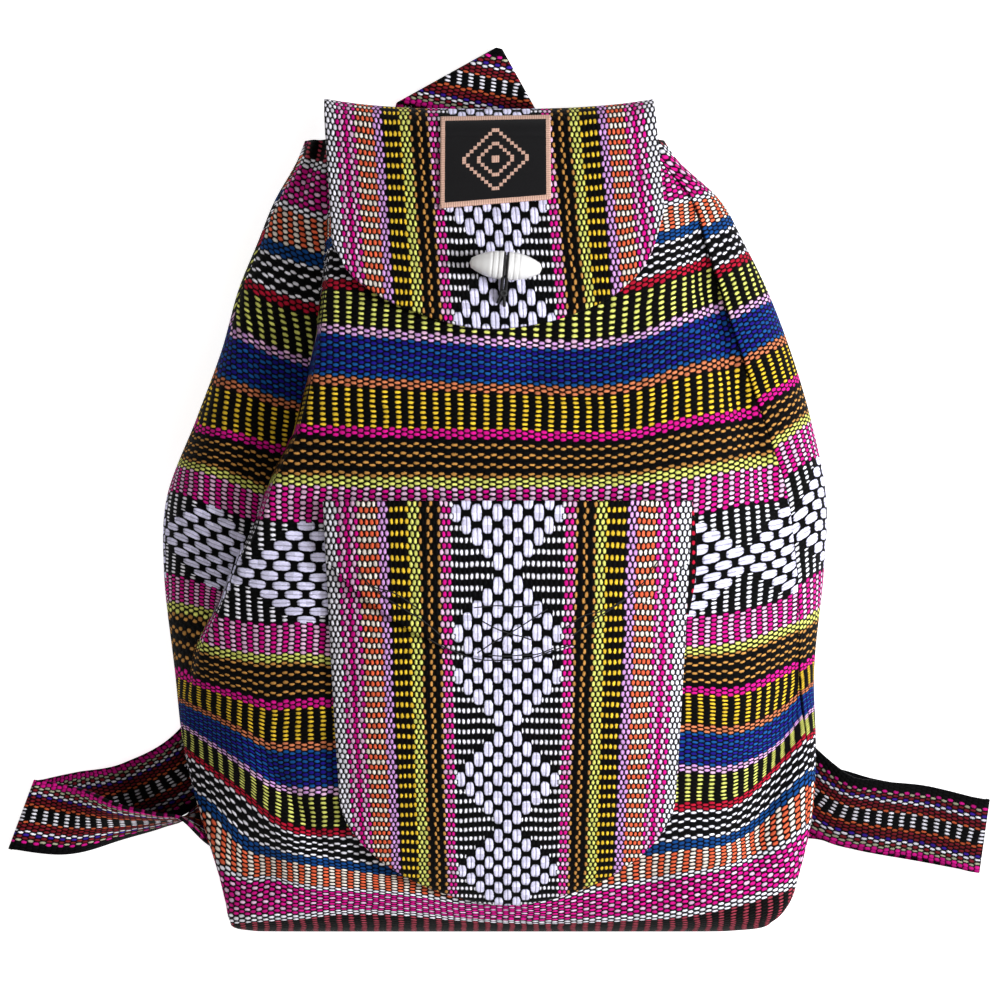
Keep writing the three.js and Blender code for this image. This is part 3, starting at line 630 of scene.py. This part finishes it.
def grid(name, across, along, place):
    """A grid of faces whose corners are moved to place(across, along), both 0 to 1."""
    bm = bmesh.new()
    bmesh.ops.create_grid(bm, x_segments=across, y_segments=along, size=1)
    mesh = bpy.data.meshes.new(name)
    bm.to_mesh(mesh)
    bm.free()
    flat = np.empty(len(mesh.vertices) * 3)
    mesh.vertices.foreach_get("co", flat)
    j = np.rint((flat[0::3] + 1) / 2 * across).astype(int)
    i = np.rint((flat[1::3] + 1) / 2 * along).astype(int)
    b, a = np.meshgrid(np.linspace(0, 1, along + 1), np.linspace(0, 1, across + 1), indexing="ij")
    points = place(a, b)
    mesh.vertices.foreach_set("co", (points[i, j] * MM).ravel())
    mesh.polygons.foreach_set("use_smooth", np.ones(len(mesh.polygons), bool))
    obj = add_object(name, mesh)
    return obj, a, b, points, (i, j)


def lay_threads(obj, index, picks, warps):
    """Gives each corner its place in the weave: picks along the warp, and warps across."""
    mesh = obj.data
    corner = np.empty(len(mesh.loops), int)
    mesh.loops.foreach_get("vertex_index", corner)
    uv = np.stack([picks[index], warps[index]], -1)[corner]
    mesh.uv_layers.new(name="threads").data.foreach_set("uv", uv.ravel())


def thicken(obj, thickness, materials, reverse=0):
    for material in materials:
        obj.data.materials.append(material)
    solid = obj.modifiers.new("thickness", "SOLIDIFY")
    solid.thickness = thickness * MM
    solid.offset = 0
    solid.material_offset = reverse


def keep(obj, node):
    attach(obj, "root")
    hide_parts(node)


def cut(obj, points):
    """Works out the flat size that a sheet was cut to, from the lengths over its surface, and keeps it
    nowhere.
    """
    wide, long = arc(points, 1)[:, -1].max(), arc(points, 0)[-1].max()


# Body
def sack_row(along):
    return along * (0.35 + 0.65 * along)


def wrinkles(x, y):
    """Soft unevenness of cloth that has been handled."""
    u, v = x / 60, y / 60
    return (
        0.9 * np.sin(1.7 * u + 0.6 * v + 1.1) * np.sin(2.3 * v - 0.4 * u + 0.3)
        + 0.6 * np.sin(3.9 * u - 1.3 * v + 2.0) * np.sin(3.1 * v + 1.2 * u)
        + 0.35 * np.sin(7.3 * u + 2.1 * v) * np.sin(6.1 * v - 1.8 * u + 0.7)
    )


# Finer creases of the front, in frame steps, with depth and width in millimetres
CREASES = table(
    "x0 y0 x1 y1 depth width",
    (812, 640, 752, 860, 6, 8),
    (692, 258, 758, 478, 6.5, 7),
    (600, 330, 715, 352, 3, 8),
    (672, 150, 716, 330, 5, 7),
    (205, 690, 330, 742, 3, 9),
    (262, 745, 338, 868, 5, 7),
    (199, 760, 246, 925, 5, 7),
    (700, 640, 790, 598, 2.5, 9),
    (690, 800, 776, 716, 3, 8),
    (350, 450, 660, 462, 1.5, 9),
    (280, 250, 236, 420, 4, 8),
)


def creases(x, y):
    total = 0 * x
    for f in CREASES:
        ax, ay = (f["x0"] - STEP_X) * STEP, (STEP_Y - f["y0"]) * STEP
        rx, ry = (f["x1"] - f["x0"]) * STEP, (f["y0"] - f["y1"]) * STEP
        share = np.clip(((x - ax) * rx + (y - ay) * ry) / (rx * rx + ry * ry), 0, 1)
        away = np.hypot(x - ax - rx * share, y - ay - ry * share)
        ends = np.sqrt(np.sin(np.pi * (0.1 + 0.8 * share)))
        total -= f["depth"] * np.exp(-((away / f["width"]) ** 2)) * ends
    return total


def front_panel():
    def place(a, b):
        at = sack_row(b)
        seams = side_seams(at)
        turn = np.radians(seams["left"] + (seams["right"] - seams["left"]) * a)
        points = sack_point(turn, at)
        x, y = points[..., 0], points[..., 1]
        soft = wrinkles(x, y) + creases(x, y)
        points[..., 2] += soft * np.sin(turn) * smoothstep(b, 0, 0.2)
        return points

    obj, a, b, points, index = grid("front_panel_cloth", 200, 220, place)
    run = arc(points, 1)
    zero = np.array([np.interp(0, points[i, :, 0], run[i]) for i in range(len(run))])
    picks = (run - zero[:, None]) / PICK
    warps = hang(points[..., 0], points[..., 1], FRONT_STATIONS, FRONT_DRAPE, points)
    lobe = hang(points[..., 0], points[..., 1], LOBE_STATIONS, LOBE_DRAPE, points)
    edge = lobe_fold(STEP_Y - points[..., 1] / STEP)["x"]
    on_lobe = (points[..., 0] / STEP + STEP_X < edge) & (points[..., 1] > (STEP_Y - LOBE_FOOT) * STEP)
    lay_threads(obj, index, picks, np.where(on_lobe, lobe, warps))
    thicken(obj, CLOTH, [BODY])
    keep(obj, "front_panel")
    cut(obj, points)


def back_panel():
    def place(a, b):
        at = sack_row(b)
        seams = side_seams(at)
        turn = np.radians(seams["right"] + (seams["left"] - 360 - seams["right"]) * a)
        return sack_point(turn, at)

    obj, a, b, points, index = grid("back_panel_cloth", 170, 180, place)
    at = sack_row(b)
    seams = side_seams(at)
    turn = np.radians(seams["right"] + (seams["left"] - 360 - seams["right"]) * a)
    under = (UNDER_STATION - STEP_X + UNDER_RUN * (1 - np.cos(turn))) * STEP
    x = np.where(turn > 0, points[..., 0], under)
    picks = arc(points, 1) / PICK
    warps = hang(x, points[..., 1], BACK_STATIONS, BACK_DRAPE, points)
    lay_threads(obj, index, picks, warps)
    thicken(obj, CLOTH, [BODY])
    keep(obj, "back_panel")
    cut(obj, points)


# Flap
def flap_top(x, y):
    """Height of the flap's front, which rounds off towards the fold."""
    side = (x - FLAP_SHIFT) / (FLAP_WIDTH / 2)
    edge = FLAP_FOLD_Y + FLAP_HORN * np.clip(np.abs(side), 0, 1) ** 3 + FLAP_BULGE
    share = 1 - np.clip((edge - y) / FLAP_ROUND, 0, 1)
    return flap_height(x, y) - FLAP_ROUND_DROP * (1 - np.sqrt(1 - share**2))


def flap_spot(across, down):
    side = 2 * across - 1
    x = FLAP_SHIFT + side * FLAP_WIDTH / 2 + FLAP_SLANT * down
    return x, FLAP_FOLD_Y + FLAP_HORN * np.abs(side) ** 3 - down


def flap():
    back_share, fold_share, rows = 0.06, 0.26, 190
    root_z = BACK_Z + sack_section(1.0)["lift"] * BAG_DEPTH
    back_z = root_z + FLAP_BACK_RISE

    def place(a, b):
        top_x, top_y = flap_spot(a, 0)
        top_z = flap_height(top_x, top_y)
        length = flap_edge(a)["length"] * FLAP_LENGTH
        # Rows lie closer where the front rounds off.
        share = np.clip((b - fold_share) / (1 - fold_share), 0, 1)
        down = share ** 1.4 * (length + FLAP_BULGE) - FLAP_BULGE
        x, y = flap_spot(a, down)
        front = np.stack([x, y, flap_top(x, y)], -1)
        turn = (np.clip((b - back_share) / (fold_share - back_share), 0, 1) - 1) * np.pi / 2
        drop = top_z - FLAP_ROUND_DROP - back_z
        bend = np.stack([top_x, top_y + FLAP_BULGE * np.cos(turn), back_z + drop * (1 + np.sin(turn))], -1)
        behind_y = FLAP_ROOT_Y + (top_y - FLAP_ROOT_Y) * b / back_share
        rise = FLAP_BACK_RISE * np.sin(np.minimum(b / back_share, 1) * np.pi / 2)
        behind = np.stack([top_x, behind_y, root_z + rise], -1)
        b = b[..., None]
        return np.where(b < back_share, behind, np.where(b < fold_share, bend, front))

    obj, a, b, points, index = grid("flap_cloth", 130, rows, lambda a, b: place(1 - a, b))
    run = arc(points, 0)
    start = int(round(fold_share * rows))
    picks = (run - run[start] - FLAP_WAIST) / PICK
    warps = (1 - 2 * a) * PANEL_THREADS
    lay_threads(obj, index, picks, warps)
    thicken(obj, CLOTH, [FLAP])
    keep(obj, "flap")
    cut(obj, points)


# Pocket
def pocket_point(across, along):
    side = np.abs(2 * across - 1)
    curve = (1 - np.clip(side, 0, 1) ** POCKET_ROUND) ** (1 / POCKET_ROUND)
    down = along * (POCKET_LENGTH - POCKET_CORNER * (1 - curve))
    width = POCKET_WIDTH + (POCKET_FOOT_WIDTH - POCKET_WIDTH) * np.clip(down / POCKET_LENGTH, 0, 1)
    x, y = POCKET_X + (2 * across - 1) * width / 2, POCKET_TOP_Y - down
    bulge = (1 - side**4) * (1 - np.clip(along, 0, 1) ** 6) ** 0.8
    z = front_height(x, y) + CLOTH + 3 * GAP + POCKET_BULGE * bulge
    return np.stack([x, y, z], -1)


def pocket():
    obj, a, b, points, index = grid("pocket_cloth", 120, 140, lambda a, b: pocket_point(a, 1 - b))
    run = arc(points[::-1], 0)[::-1]
    lay_threads(obj, index, (run - POCKET_WAIST) / POCKET_PICK, (2 * a - 1) * PANEL_THREADS)
    thicken(obj, CLOTH, [POCKET])
    keep(obj, "pocket")
    cut(obj, points)


def pocket_flap():
    def place(a, b):
        side = np.abs(2 * a - 1)
        length = POCKET_FLAP_LENGTH - POCKET_FLAP_RISE * side**POCKET_FLAP_CURVE
        points = pocket_point(a, (1 - b) * length / POCKET_LENGTH)
        points[..., 2] += CLOTH + GAP * 1.5
        return points

    obj, a, b, points, index = grid("pocket_flap_cloth", 120, 60, place)
    run = arc(points[::-1], 0)[::-1]
    lay_threads(obj, index, (run - POCKET_FLAP_WAIST) / POCKET_FLAP_PICK, (2 * a - 1) * PANEL_THREADS)
    thicken(obj, CLOTH, [POCKET_FLAP])
    keep(obj, "pocket_flap")
    cut(obj, points)


# Label, which isn't sewn quite square
LABEL_HEAD_RISE, LABEL_FOOT_RISE, LABEL_BORDER = 1.0, 4.0, 2.5


def label():
    def place(a, b):
        x = LABEL_X + (a - 0.5) * LABEL_WIDTH
        foot = LABEL_HEIGHT - a * LABEL_FOOT_RISE
        y = FLAP_FOLD_Y - LABEL_TOP_SETBACK + (a - 0.5) * LABEL_HEAD_RISE - (1 - b) * foot
        z = flap_top(x, y) + CLOTH / 2 + GAP + LABEL_THICKNESS / 2
        return np.stack([x, y, z], -1)

    obj, a, b, points, index = grid("label_patch", 60, 50, place)
    lay_threads(obj, index, (a - 0.5) * LABEL_WIDTH, (b - 0.5) * LABEL_HEIGHT)
    thicken(obj, LABEL_THICKNESS, [LABEL])
    keep(obj, "label")
    cut(obj, points)


def satin():
    """Black satin, with a rose-tan border of close stitches."""
    material, node, calc, blend = painter("label_satin")
    uv = node("UVMap", uv_map="threads")
    x, y = node("SeparateXYZ", uv), node("SeparateXYZ", uv, out=1)
    ax = calc("ABSOLUTE", x)
    ay = calc("ABSOLUTE", y)
    dx = calc("SUBTRACT", LABEL_WIDTH / 2, ax)
    dy = calc("SUBTRACT", LABEL_HEIGHT / 2, ay)
    rim = calc("MINIMUM", dx, dy)
    border = calc("LESS_THAN", rim, LABEL_BORDER)
    # A plain stepped diamond is worked in the middle with the same yarn.
    step_x = calc("FLOOR", calc("MULTIPLY", ax, 0.5))
    step_y = calc("FLOOR", calc("MULTIPLY", ay, 0.5))
    steps = calc("ADD", step_x, step_y)
    ring = calc("FLOORED_MODULO", steps, 4.0)
    ring = calc("LESS_THAN", ring, 0.5)
    inside = calc("LESS_THAN", steps, 8.5)
    ring = calc("MULTIPLY", ring, inside)
    border = calc("MAXIMUM", border, ring)
    along = node("Mix", calc("LESS_THAN", dx, dy), None, x, y, data_type="FLOAT")
    thread = calc("MULTIPLY", along, 5.0)
    thread = calc("SINE", thread)
    stretch = node("VectorMath", uv, (1.0, 9.0, 1.0), operation="MULTIPLY")
    weave = node("TexNoise", stretch, None, 1.2, 2.0, 0.5)
    # Painted shade: the stitches are darker in the grooves between them and lighter on their ridges, in
    # step with their bump.
    tan = node("MapRange", thread, -1.0, 1.0, 0.55, 1.0)
    stitch = blend(tan, linear("#8a6557"), linear("#d8b09c"))
    black = blend(weave, linear("#040405"), linear("#0e0d10"))
    colour = blend(border, black, stitch)
    raised = calc("MULTIPLY_ADD", thread, 0.25, 1.0)
    raised = calc("MULTIPLY", raised, border)
    height = calc("MULTIPLY_ADD", weave, 0.2, raised)
    bump = node("Bump", 0.5, 0.0006, None, height)
    shader = node("BsdfPrincipled", named={
        "Base Color": colour, "Roughness": 0.6, "Normal": bump, "Specular IOR Level": 0.25})
    node("OutputMaterial", shader)
    return material


def plain(name, code, roughness, coat=0.0, grain=(0.0, 1.0), distance=0.0002):
    """One dye with a fine grain, for the toggle and the cords."""
    material, node, _, blend = painter(name)
    where = node("TexCoord", out=3)
    noise = node("TexNoise", where, None, grain[1], 4.0, 0.6)
    shade = node("MapRange", noise, 0.3, 0.7, 1 - grain[0], 1.0)
    tint = node("CombineColor", shade, shade, shade)
    colour = blend(1.0, linear(code), tint, blend_type="MULTIPLY")
    bump = node("Bump", 0.3, distance, None, noise)
    shader = node("BsdfPrincipled", named={
        "Base Color": colour, "Roughness": roughness, "Normal": bump,
        "Coat Weight": coat, "Coat Roughness": 0.2})
    node("OutputMaterial", shader)
    return material


# Toggle and its loop
TOGGLE_Y = FLAP_FOLD_Y - TOGGLE_SETBACK
TOGGLE_WAIST = TOGGLE_PROFILE[0][1] * TOGGLE_RADIUS
TOGGLE_Z = (
    float(flap_height(np.float64(TOGGLE_X), np.float64(TOGGLE_Y)))
    + CLOTH / 2
    + max(GAP + TOGGLE_RADIUS, 2 * GAP + LOOP_CORD + TOGGLE_WAIST)
    + GAP
)


def turned(points):
    """Turns points about the toggle's upright axis and moves them to its place."""
    angle = math.radians(TOGGLE_TURN)
    x, y, z = points[..., 0], points[..., 1], points[..., 2]
    return np.stack([
        TOGGLE_X + x * math.cos(angle) - y * math.sin(angle),
        TOGGLE_Y + x * math.sin(angle) + y * math.cos(angle),
        z,
    ], -1)


def toggle():
    half = np.array(TOGGLE_PROFILE)
    profile = np.concatenate([half[:0:-1] * (-1, 1), half])

    def place(a, b):
        t = np.linspace(0, 1, len(profile))
        along = np.interp(b, t, profile[:, 0]) * TOGGLE_LENGTH / 2
        radius = np.interp(b, t, profile[:, 1]) * TOGGLE_RADIUS
        turn = -a * 2 * np.pi
        points = np.stack([along, radius * np.cos(turn), TOGGLE_Z + radius * np.sin(turn)], -1)
        return turned(points)

    obj, *_ = grid("toggle_turned", 64, 112, place)
    bm = bmesh.new()
    bm.from_mesh(obj.data)
    bmesh.ops.remove_doubles(bm, verts=bm.verts, dist=1e-6)
    bmesh.ops.recalc_face_normals(bm, faces=bm.faces)
    bm.to_mesh(obj.data)
    bm.free()
    obj.data.materials.append(TOGGLE)
    keep(obj, "toggle")


def loop_point(share):
    turn = share * 2 * np.pi
    radius = TOGGLE_WAIST + GAP + LOOP_CORD / 2
    tail = np.maximum(0, -np.cos(turn))
    y = radius * np.cos(turn) - LOOP_TAIL * tail**3
    floor = TOGGLE_Z - radius
    z = TOGGLE_Z + radius * np.sin(turn) * (1 - 0.55 * tail**3)
    low = floor + flap_height(0 * y, TOGGLE_Y + y) - flap_height(0 * y, TOGGLE_Y + 0 * y)
    z = np.maximum(z, low) - (z - low) * tail**4 * 0.6
    return np.stack([0 * y, y, z], -1)


def through(spots, count):
    """A smooth run of points through the spots."""
    spots = np.array(spots, float)
    t = np.linspace(0, 1, len(spots))
    run = spline([dict(at=t[i], x=p[0], y=p[1], z=p[2]) for i, p in enumerate(spots)])
    found = run(np.linspace(0, 1, count))
    return np.stack([found["x"], found["y"], found["z"]], -1)


def tubes(name, paths, radius, material, sides=8):
    """Round threads along runs of points, in one mesh."""
    bm = bmesh.new()
    for path in paths:
        count = len(path)
        before = len(bm.verts)
        bmesh.ops.create_grid(bm, x_segments=sides, y_segments=count - 1, size=1)
        run = np.gradient(path, axis=0)
        run /= np.linalg.norm(run, axis=1, keepdims=True)
        side = np.cross(run, np.array([0.13, 0.07, 0.99]))
        side /= np.linalg.norm(side, axis=1, keepdims=True)
        up = np.cross(side, run)
        bm.verts.ensure_lookup_table()
        for vert in bm.verts[before:]:
            i = round((vert.co.y + 1) / 2 * (count - 1))
            turn = -(vert.co.x + 1) * math.pi
            vert.co = (path[i] + radius * (math.cos(turn) * side[i] + math.sin(turn) * up[i])) * MM
    bmesh.ops.remove_doubles(bm, verts=bm.verts, dist=1e-6)
    bmesh.ops.recalc_face_normals(bm, faces=bm.faces)
    mesh = bpy.data.meshes.new(name)
    bm.to_mesh(mesh)
    bm.free()
    mesh.polygons.foreach_set("use_smooth", np.ones(len(mesh.polygons), bool))
    obj = add_object(name, mesh)
    mesh.materials.append(material)
    return obj


def toggle_loop():
    share = np.linspace(0, 1, 140)
    middle = loop_point(share)
    strands = []
    for side in (-1, 1):
        off = np.stack([side * (1.05 + 0.1 * np.sin(share * 6 * np.pi)), 0 * share, 0 * share], -1)
        strands.append(turned(middle + off))
    low_y, low_z = middle[len(share) // 2, 1:]
    knot = np.linspace(0, 4 * np.pi, 60)
    strands.append(turned(np.stack([
        1.5 * np.cos(knot), low_y - 0.6 + 1.3 * np.sin(knot), low_z + 1.3 + 0.7 * np.sin(knot / 2)], -1)))
    for end in ((-2.6, -6.0), (1.2, -7.5)):
        strands.append(turned(through([
            (0, low_y, low_z + 0.8), (end[0] * 0.6, low_y + end[1] * 0.5, low_z + 1.2),
            (end[0], low_y + end[1], low_z - 0.6)], 20)))
    obj = tubes("toggle_loop_cord", strands, LOOP_STRAND, CORD)
    keep(obj, "toggle_loop")


STITCH_RADIUS, STITCH_RISE = 0.32, 0.15
# Sewing on the pocket, in frame steps
POCKET_STITCHES = [
    [(475, 604), (496, 602), (516, 603), (538, 601)],
    [(483, 617), (496, 624), (509, 629), (521, 632), (533, 636)],
    [(546, 605), (528, 617), (509, 629), (496, 636), (484, 644), (478, 648)],
    [(489, 650), (505, 651), (520, 650), (536, 649), (552, 643)],
    [(652, 560), (640, 578), (626, 592), (611, 603), (595, 613), (582, 622), (570, 631)],
    [(626, 592), (603, 606), (580, 612), (560, 626)],
    [(362, 566), (376, 584), (392, 596), (410, 607), (425, 616), (442, 630)],
    [(376, 584), (398, 590), (420, 604)],
    [(570, 640), (552, 645), (530, 653), (505, 655), (478, 654), (450, 644), (430, 634)],
]


def pocket_top(x, y):
    """Height of the pocket's outside, or of its flap where that covers it."""
    down = POCKET_TOP_Y - y
    width = POCKET_WIDTH + (POCKET_FOOT_WIDTH - POCKET_WIDTH) * down / POCKET_LENGTH
    across = (x - POCKET_X) / width + 0.5
    side = abs(2 * across - 1)
    length = POCKET_LENGTH - POCKET_CORNER * (1 - (1 - side**POCKET_ROUND) ** (1 / POCKET_ROUND))
    z = float(pocket_point(np.float64(across), np.float64(down / length))[2])
    covered = down < POCKET_FLAP_LENGTH - POCKET_FLAP_RISE * side**POCKET_FLAP_CURVE
    return z + CLOTH / 2 + (CLOTH + GAP * 1.5 if covered else 0)


def pocket_stitches():
    paths = []
    for line in POCKET_STITCHES:
        spots = [((px - STEP_X) * STEP, (STEP_Y - py) * STEP) for px, py in line]
        spots = through([(x, y, pocket_top(x, y)) for x, y in spots], 12 * len(spots))
        spots[:, 2] = [pocket_top(x, y) + STITCH_RISE for x, y in spots[:, :2]]
        paths.append(spots)
    obj = tubes("pocket_flap_stitches", paths, STITCH_RADIUS, CORD, sides=6)
    keep(obj, "pocket_flap")


LINING_FOOT_Y, LINING_LENGTH, LINING_TUCK, LINING_SHOW = -66, 59, 8, 4.6
LINING_THICKNESS, LINING_PICK = 0.5, 2.6


def pocket_lining():
    """Shows where the pocket's right edge stands off the front. Its red threads are the cloth in the gap,
    and its near-black ones are painted shade.
    """
    def place(a, b):
        y = LINING_FOOT_Y + b * LINING_LENGTH
        down = POCKET_TOP_Y - y
        edge = POCKET_X + (POCKET_WIDTH - (POCKET_WIDTH - POCKET_FOOT_WIDTH) * down / POCKET_LENGTH) / 2
        x = edge - LINING_TUCK + a * (LINING_TUCK + LINING_SHOW * np.sin(np.pi * (0.12 + 0.8 * b)))
        return np.stack([x, y, front_height(x, y) + CLOTH / 2 + 0.5 + 0.7 * np.sin(np.pi * a)], -1)

    obj, a, b, points, index = grid("pocket_lining", 12, 60, place)
    lay_threads(obj, index, points[..., 1] / LINING_PICK, points[..., 0] / WARP)
    thicken(obj, LINING_THICKNESS, [LINING])
    keep(obj, "pocket")
    cut(obj, points)


# Bands
def band_place(rows):
    row = spline([dict(r, at=i / (len(rows) - 1)) for i, r in enumerate(rows)])

    def place(a, b):
        f = row(b)
        plan, rise = np.radians(f["heading"]), np.radians(f["tilt"])
        width = np.stack([np.cos(plan) * np.cos(rise), np.sin(plan) * np.cos(rise), np.sin(rise)], -1)
        middle = f["z"] + np.abs(np.sin(rise)) * BAND_WIDTH / 2
        centre = np.stack([f["x"], f["y"], middle], -1)
        return centre + width * ((a - 0.5) * BAND_WIDTH)[..., None]

    return place


def strap_rows(out, back):
    last, first = out[-1], back[0]
    sign = 1 if last["x"] > 0 else -1
    turns = [
        dict(
            x=last["x"] + sign * (STRAP_TURN_RADIUS * math.cos(share * math.pi) - STRAP_END_TRIM),
            y=last["y"],
            z=(last["z"] + first["z"]) / 2 + (first["z"] - last["z"]) / 2 * math.sin(share * math.pi),
            heading=last["heading"],
            tilt=0,
        )
        for share in (-0.5, 0, 0.5)
    ]
    return out[:-1] + turns + back[1:]


def strap(name, out, back):
    place = band_place(strap_rows(out, back))
    left = out[0]["x"] < 0
    lay = (lambda a, b: place(1 - a, 1 - b)) if left else (lambda a, b: place(a, 1 - b))
    across = 16
    obj, a, b, points, index = grid(name + "_band", across, 520, lay)
    run = arc(points, 0)[:, across // 2][:, None] + 0 * a
    lay_threads(obj, index, run / BAND_PICK, a * BAND_THREADS)
    thicken(obj, BAND, [WEBBING_PAINTED_SHADE, WEBBING], reverse=1)
    keep(obj, name)
    cut(obj, points)


HANDLE_LEG, HANDLE_CROSS, HANDLE_END = 46.0, 46.0, 48.0
HANDLE_FOLD_ONE, HANDLE_FOLD_TWO, HANDLE_HEADING = 49.0, -41.0, 70.0
HANDLE_X, HANDLE_Y, HANDLE_RISE = -45.0, 186.0, 1.1


def fold_over(points, along, angle, radius):
    """Wraps what lies past a slanting line over it, and lays it back on top."""
    ax, ay = math.cos(angle), math.sin(angle)
    past = (points[..., 0] - along) * ax + points[..., 1] * ay
    wrapped = np.clip(past / radius, 0, np.pi)
    rest = np.maximum(0, past - np.pi * radius)
    lean = points[..., 2]
    move = np.where(past > 0, radius * np.sin(wrapped) - rest - past - lean * np.sin(wrapped), 0)
    z = np.where(past > 0, radius * (1 - np.cos(wrapped)) + lean * np.cos(wrapped), lean)
    return np.stack([points[..., 0] + ax * move, points[..., 1] + ay * move, z], -1)


def handle():
    one, two = math.radians(HANDLE_FOLD_ONE), math.radians(HANDLE_FOLD_TWO)
    reach = HANDLE_LEG + HANDLE_CROSS
    over = [math.pi * HANDLE_TURN_RADIUS / math.cos(angle) for angle in (one, two)]
    rows = [
        dict(at=0.0, along=0, slant=0), dict(at=0.18, along=HANDLE_LEG, slant=math.tan(one)),
        dict(at=0.36, along=HANDLE_LEG + over[0], slant=math.tan(one)),
        dict(at=0.5, along=reach, slant=math.tan(two)),
        dict(at=0.68, along=reach + over[1], slant=math.tan(two)),
        dict(at=1.0, along=reach + HANDLE_END, slant=0),
    ]

    def flat(a, b):
        at = [row["at"] for row in rows]
        along = np.interp(b, at, [row["along"] for row in rows])
        slant = np.interp(b, at, [row["slant"] for row in rows])
        side = (a - 0.5) * BAND_WIDTH
        return along - side * slant, side

    def place(a, b):
        x, y = flat(1 - a, b)
        points = np.stack([x, y, 0 * x], -1)
        points = fold_over(points, reach, two, HANDLE_TURN_RADIUS)
        points = fold_over(points, HANDLE_LEG, one, HANDLE_TURN_RADIUS)
        h = math.radians(HANDLE_HEADING)
        x, y, z = points[..., 0], points[..., 1], points[..., 2]
        return np.stack([
            HANDLE_X + x * math.cos(h) - y * math.sin(h),
            HANDLE_Y + x * math.sin(h) + y * math.cos(h),
            z + BAND / 2 + HANDLE_RISE,
        ], -1)

    obj, a, b, points, index = grid("handle_band", 16, 200, place)
    x, y = flat(1 - a, b)
    lay_threads(obj, index, x / BAND_PICK, a * BAND_THREADS)
    thicken(obj, BAND, [WEBBING_PAINTED_SHADE, WEBBING], reverse=1)
    keep(obj, "handle")


BODY = woven("striped_cotton_body", BODY_BANDS, seed=1.0)
FLAP = woven("striped_cotton_flap", PANEL_BANDS, seed=2.0)
POCKET = woven("striped_cotton_pocket", PANEL_BANDS, seed=3.0)
POCKET_FLAP = woven("striped_cotton_pocket_flap", PANEL_BANDS, seed=4.0)
WEBBING = woven("striped_webbing", WEBBING_BANDS, cells=False, seed=5.0)
# The band's other face is the same webbing, darker all over by painted shade.
WEBBING_PAINTED_SHADE = woven("striped_webbing_painted_shade", WEBBING_BANDS, cells=False, painted_darkening=0.45, seed=6.0)
LINING = woven("red_lining_with_painted_shade", LINING_BANDS, cells=False, seed=7.0)
LABEL = satin()
# The toggle gleams under a thin clear coat. The cord is dull and almost black.
TOGGLE = plain("toggle_lacquer", "#e2e2e0", 0.32, coat=0.25, grain=(0.03, 300.0), distance=0.00005)
CORD = plain("black_cord", "#0a090b", 0.7, grain=(0.4, 2500.0))

front_panel()
back_panel()
flap()
pocket()
pocket_flap()
pocket_lining()
pocket_stitches()
label()
toggle()
toggle_loop()
handle()
strap("strap_left", STRAP_LEFT, STRAP_LEFT_RETURN)
strap("strap_right", STRAP_RIGHT, STRAP_RIGHT_RETURN)

# Floor, light and camera, in metres
FLOOR_HALF, FLOOR_Z = 3, -0.0005
floor_mesh = bpy.data.meshes.new("floor")
corners = [(x * FLOOR_HALF, y * FLOOR_HALF, FLOOR_Z) for x, y in ((-1, -1), (1, -1), (1, 1), (-1, 1))]
floor_mesh.from_pydata(corners, [], [(0, 1, 2, 3)])
floor = add_object("floor", floor_mesh)
paper, add, *_ = painter("floor_paper")
white = add("BsdfPrincipled", named={
    "Base Color": (0.6, 0.6, 0.6, 1), "Roughness": 0.9,
    "Emission Color": (1, 1, 1, 1), "Emission Strength": 0.86})
add("OutputMaterial", white)
floor_mesh.materials.append(paper)


def area_light(name, where, size, power, colour):
    light = bpy.data.lights.new(name, "AREA")
    light.size, light.energy, light.color = size, power, colour
    obj = add_object(name, light)
    obj.location = where
    aim = -obj.location
    obj.rotation_euler = aim.to_track_quat("-Z", "Y").to_euler()


area_light("key", (1.45, 0.0, 1.25), 0.5, 50, (0.95, 0.96, 1.0))
area_light("fill", (0.3, -0.9, 2.0), 1.2, 12, (1.0, 0.97, 0.95))
world = bpy.data.worlds.new("studio")
bpy.context.scene.world = world
world.use_nodes = True
world.node_tree.nodes["Background"].inputs[0].default_value = (1.0, 0.96, 0.93, 1)
world.node_tree.nodes["Background"].inputs[1].default_value = 0.24
bpy.context.scene.view_settings.view_transform = "Standard"

CAMERA_HEIGHT, AIM_Z = 2.5, 0.04
camera = bpy.data.cameras.new("camera")
camera.lens = camera.sensor_width * CAMERA_HEIGHT / (1000 * STEP * MM)
eye = add_object("camera", camera)
eye.location = ((500 - STEP_X) * STEP * MM, (STEP_Y - 500) * STEP * MM, AIM_Z + CAMERA_HEIGHT)
bpy.context.scene.camera = eye
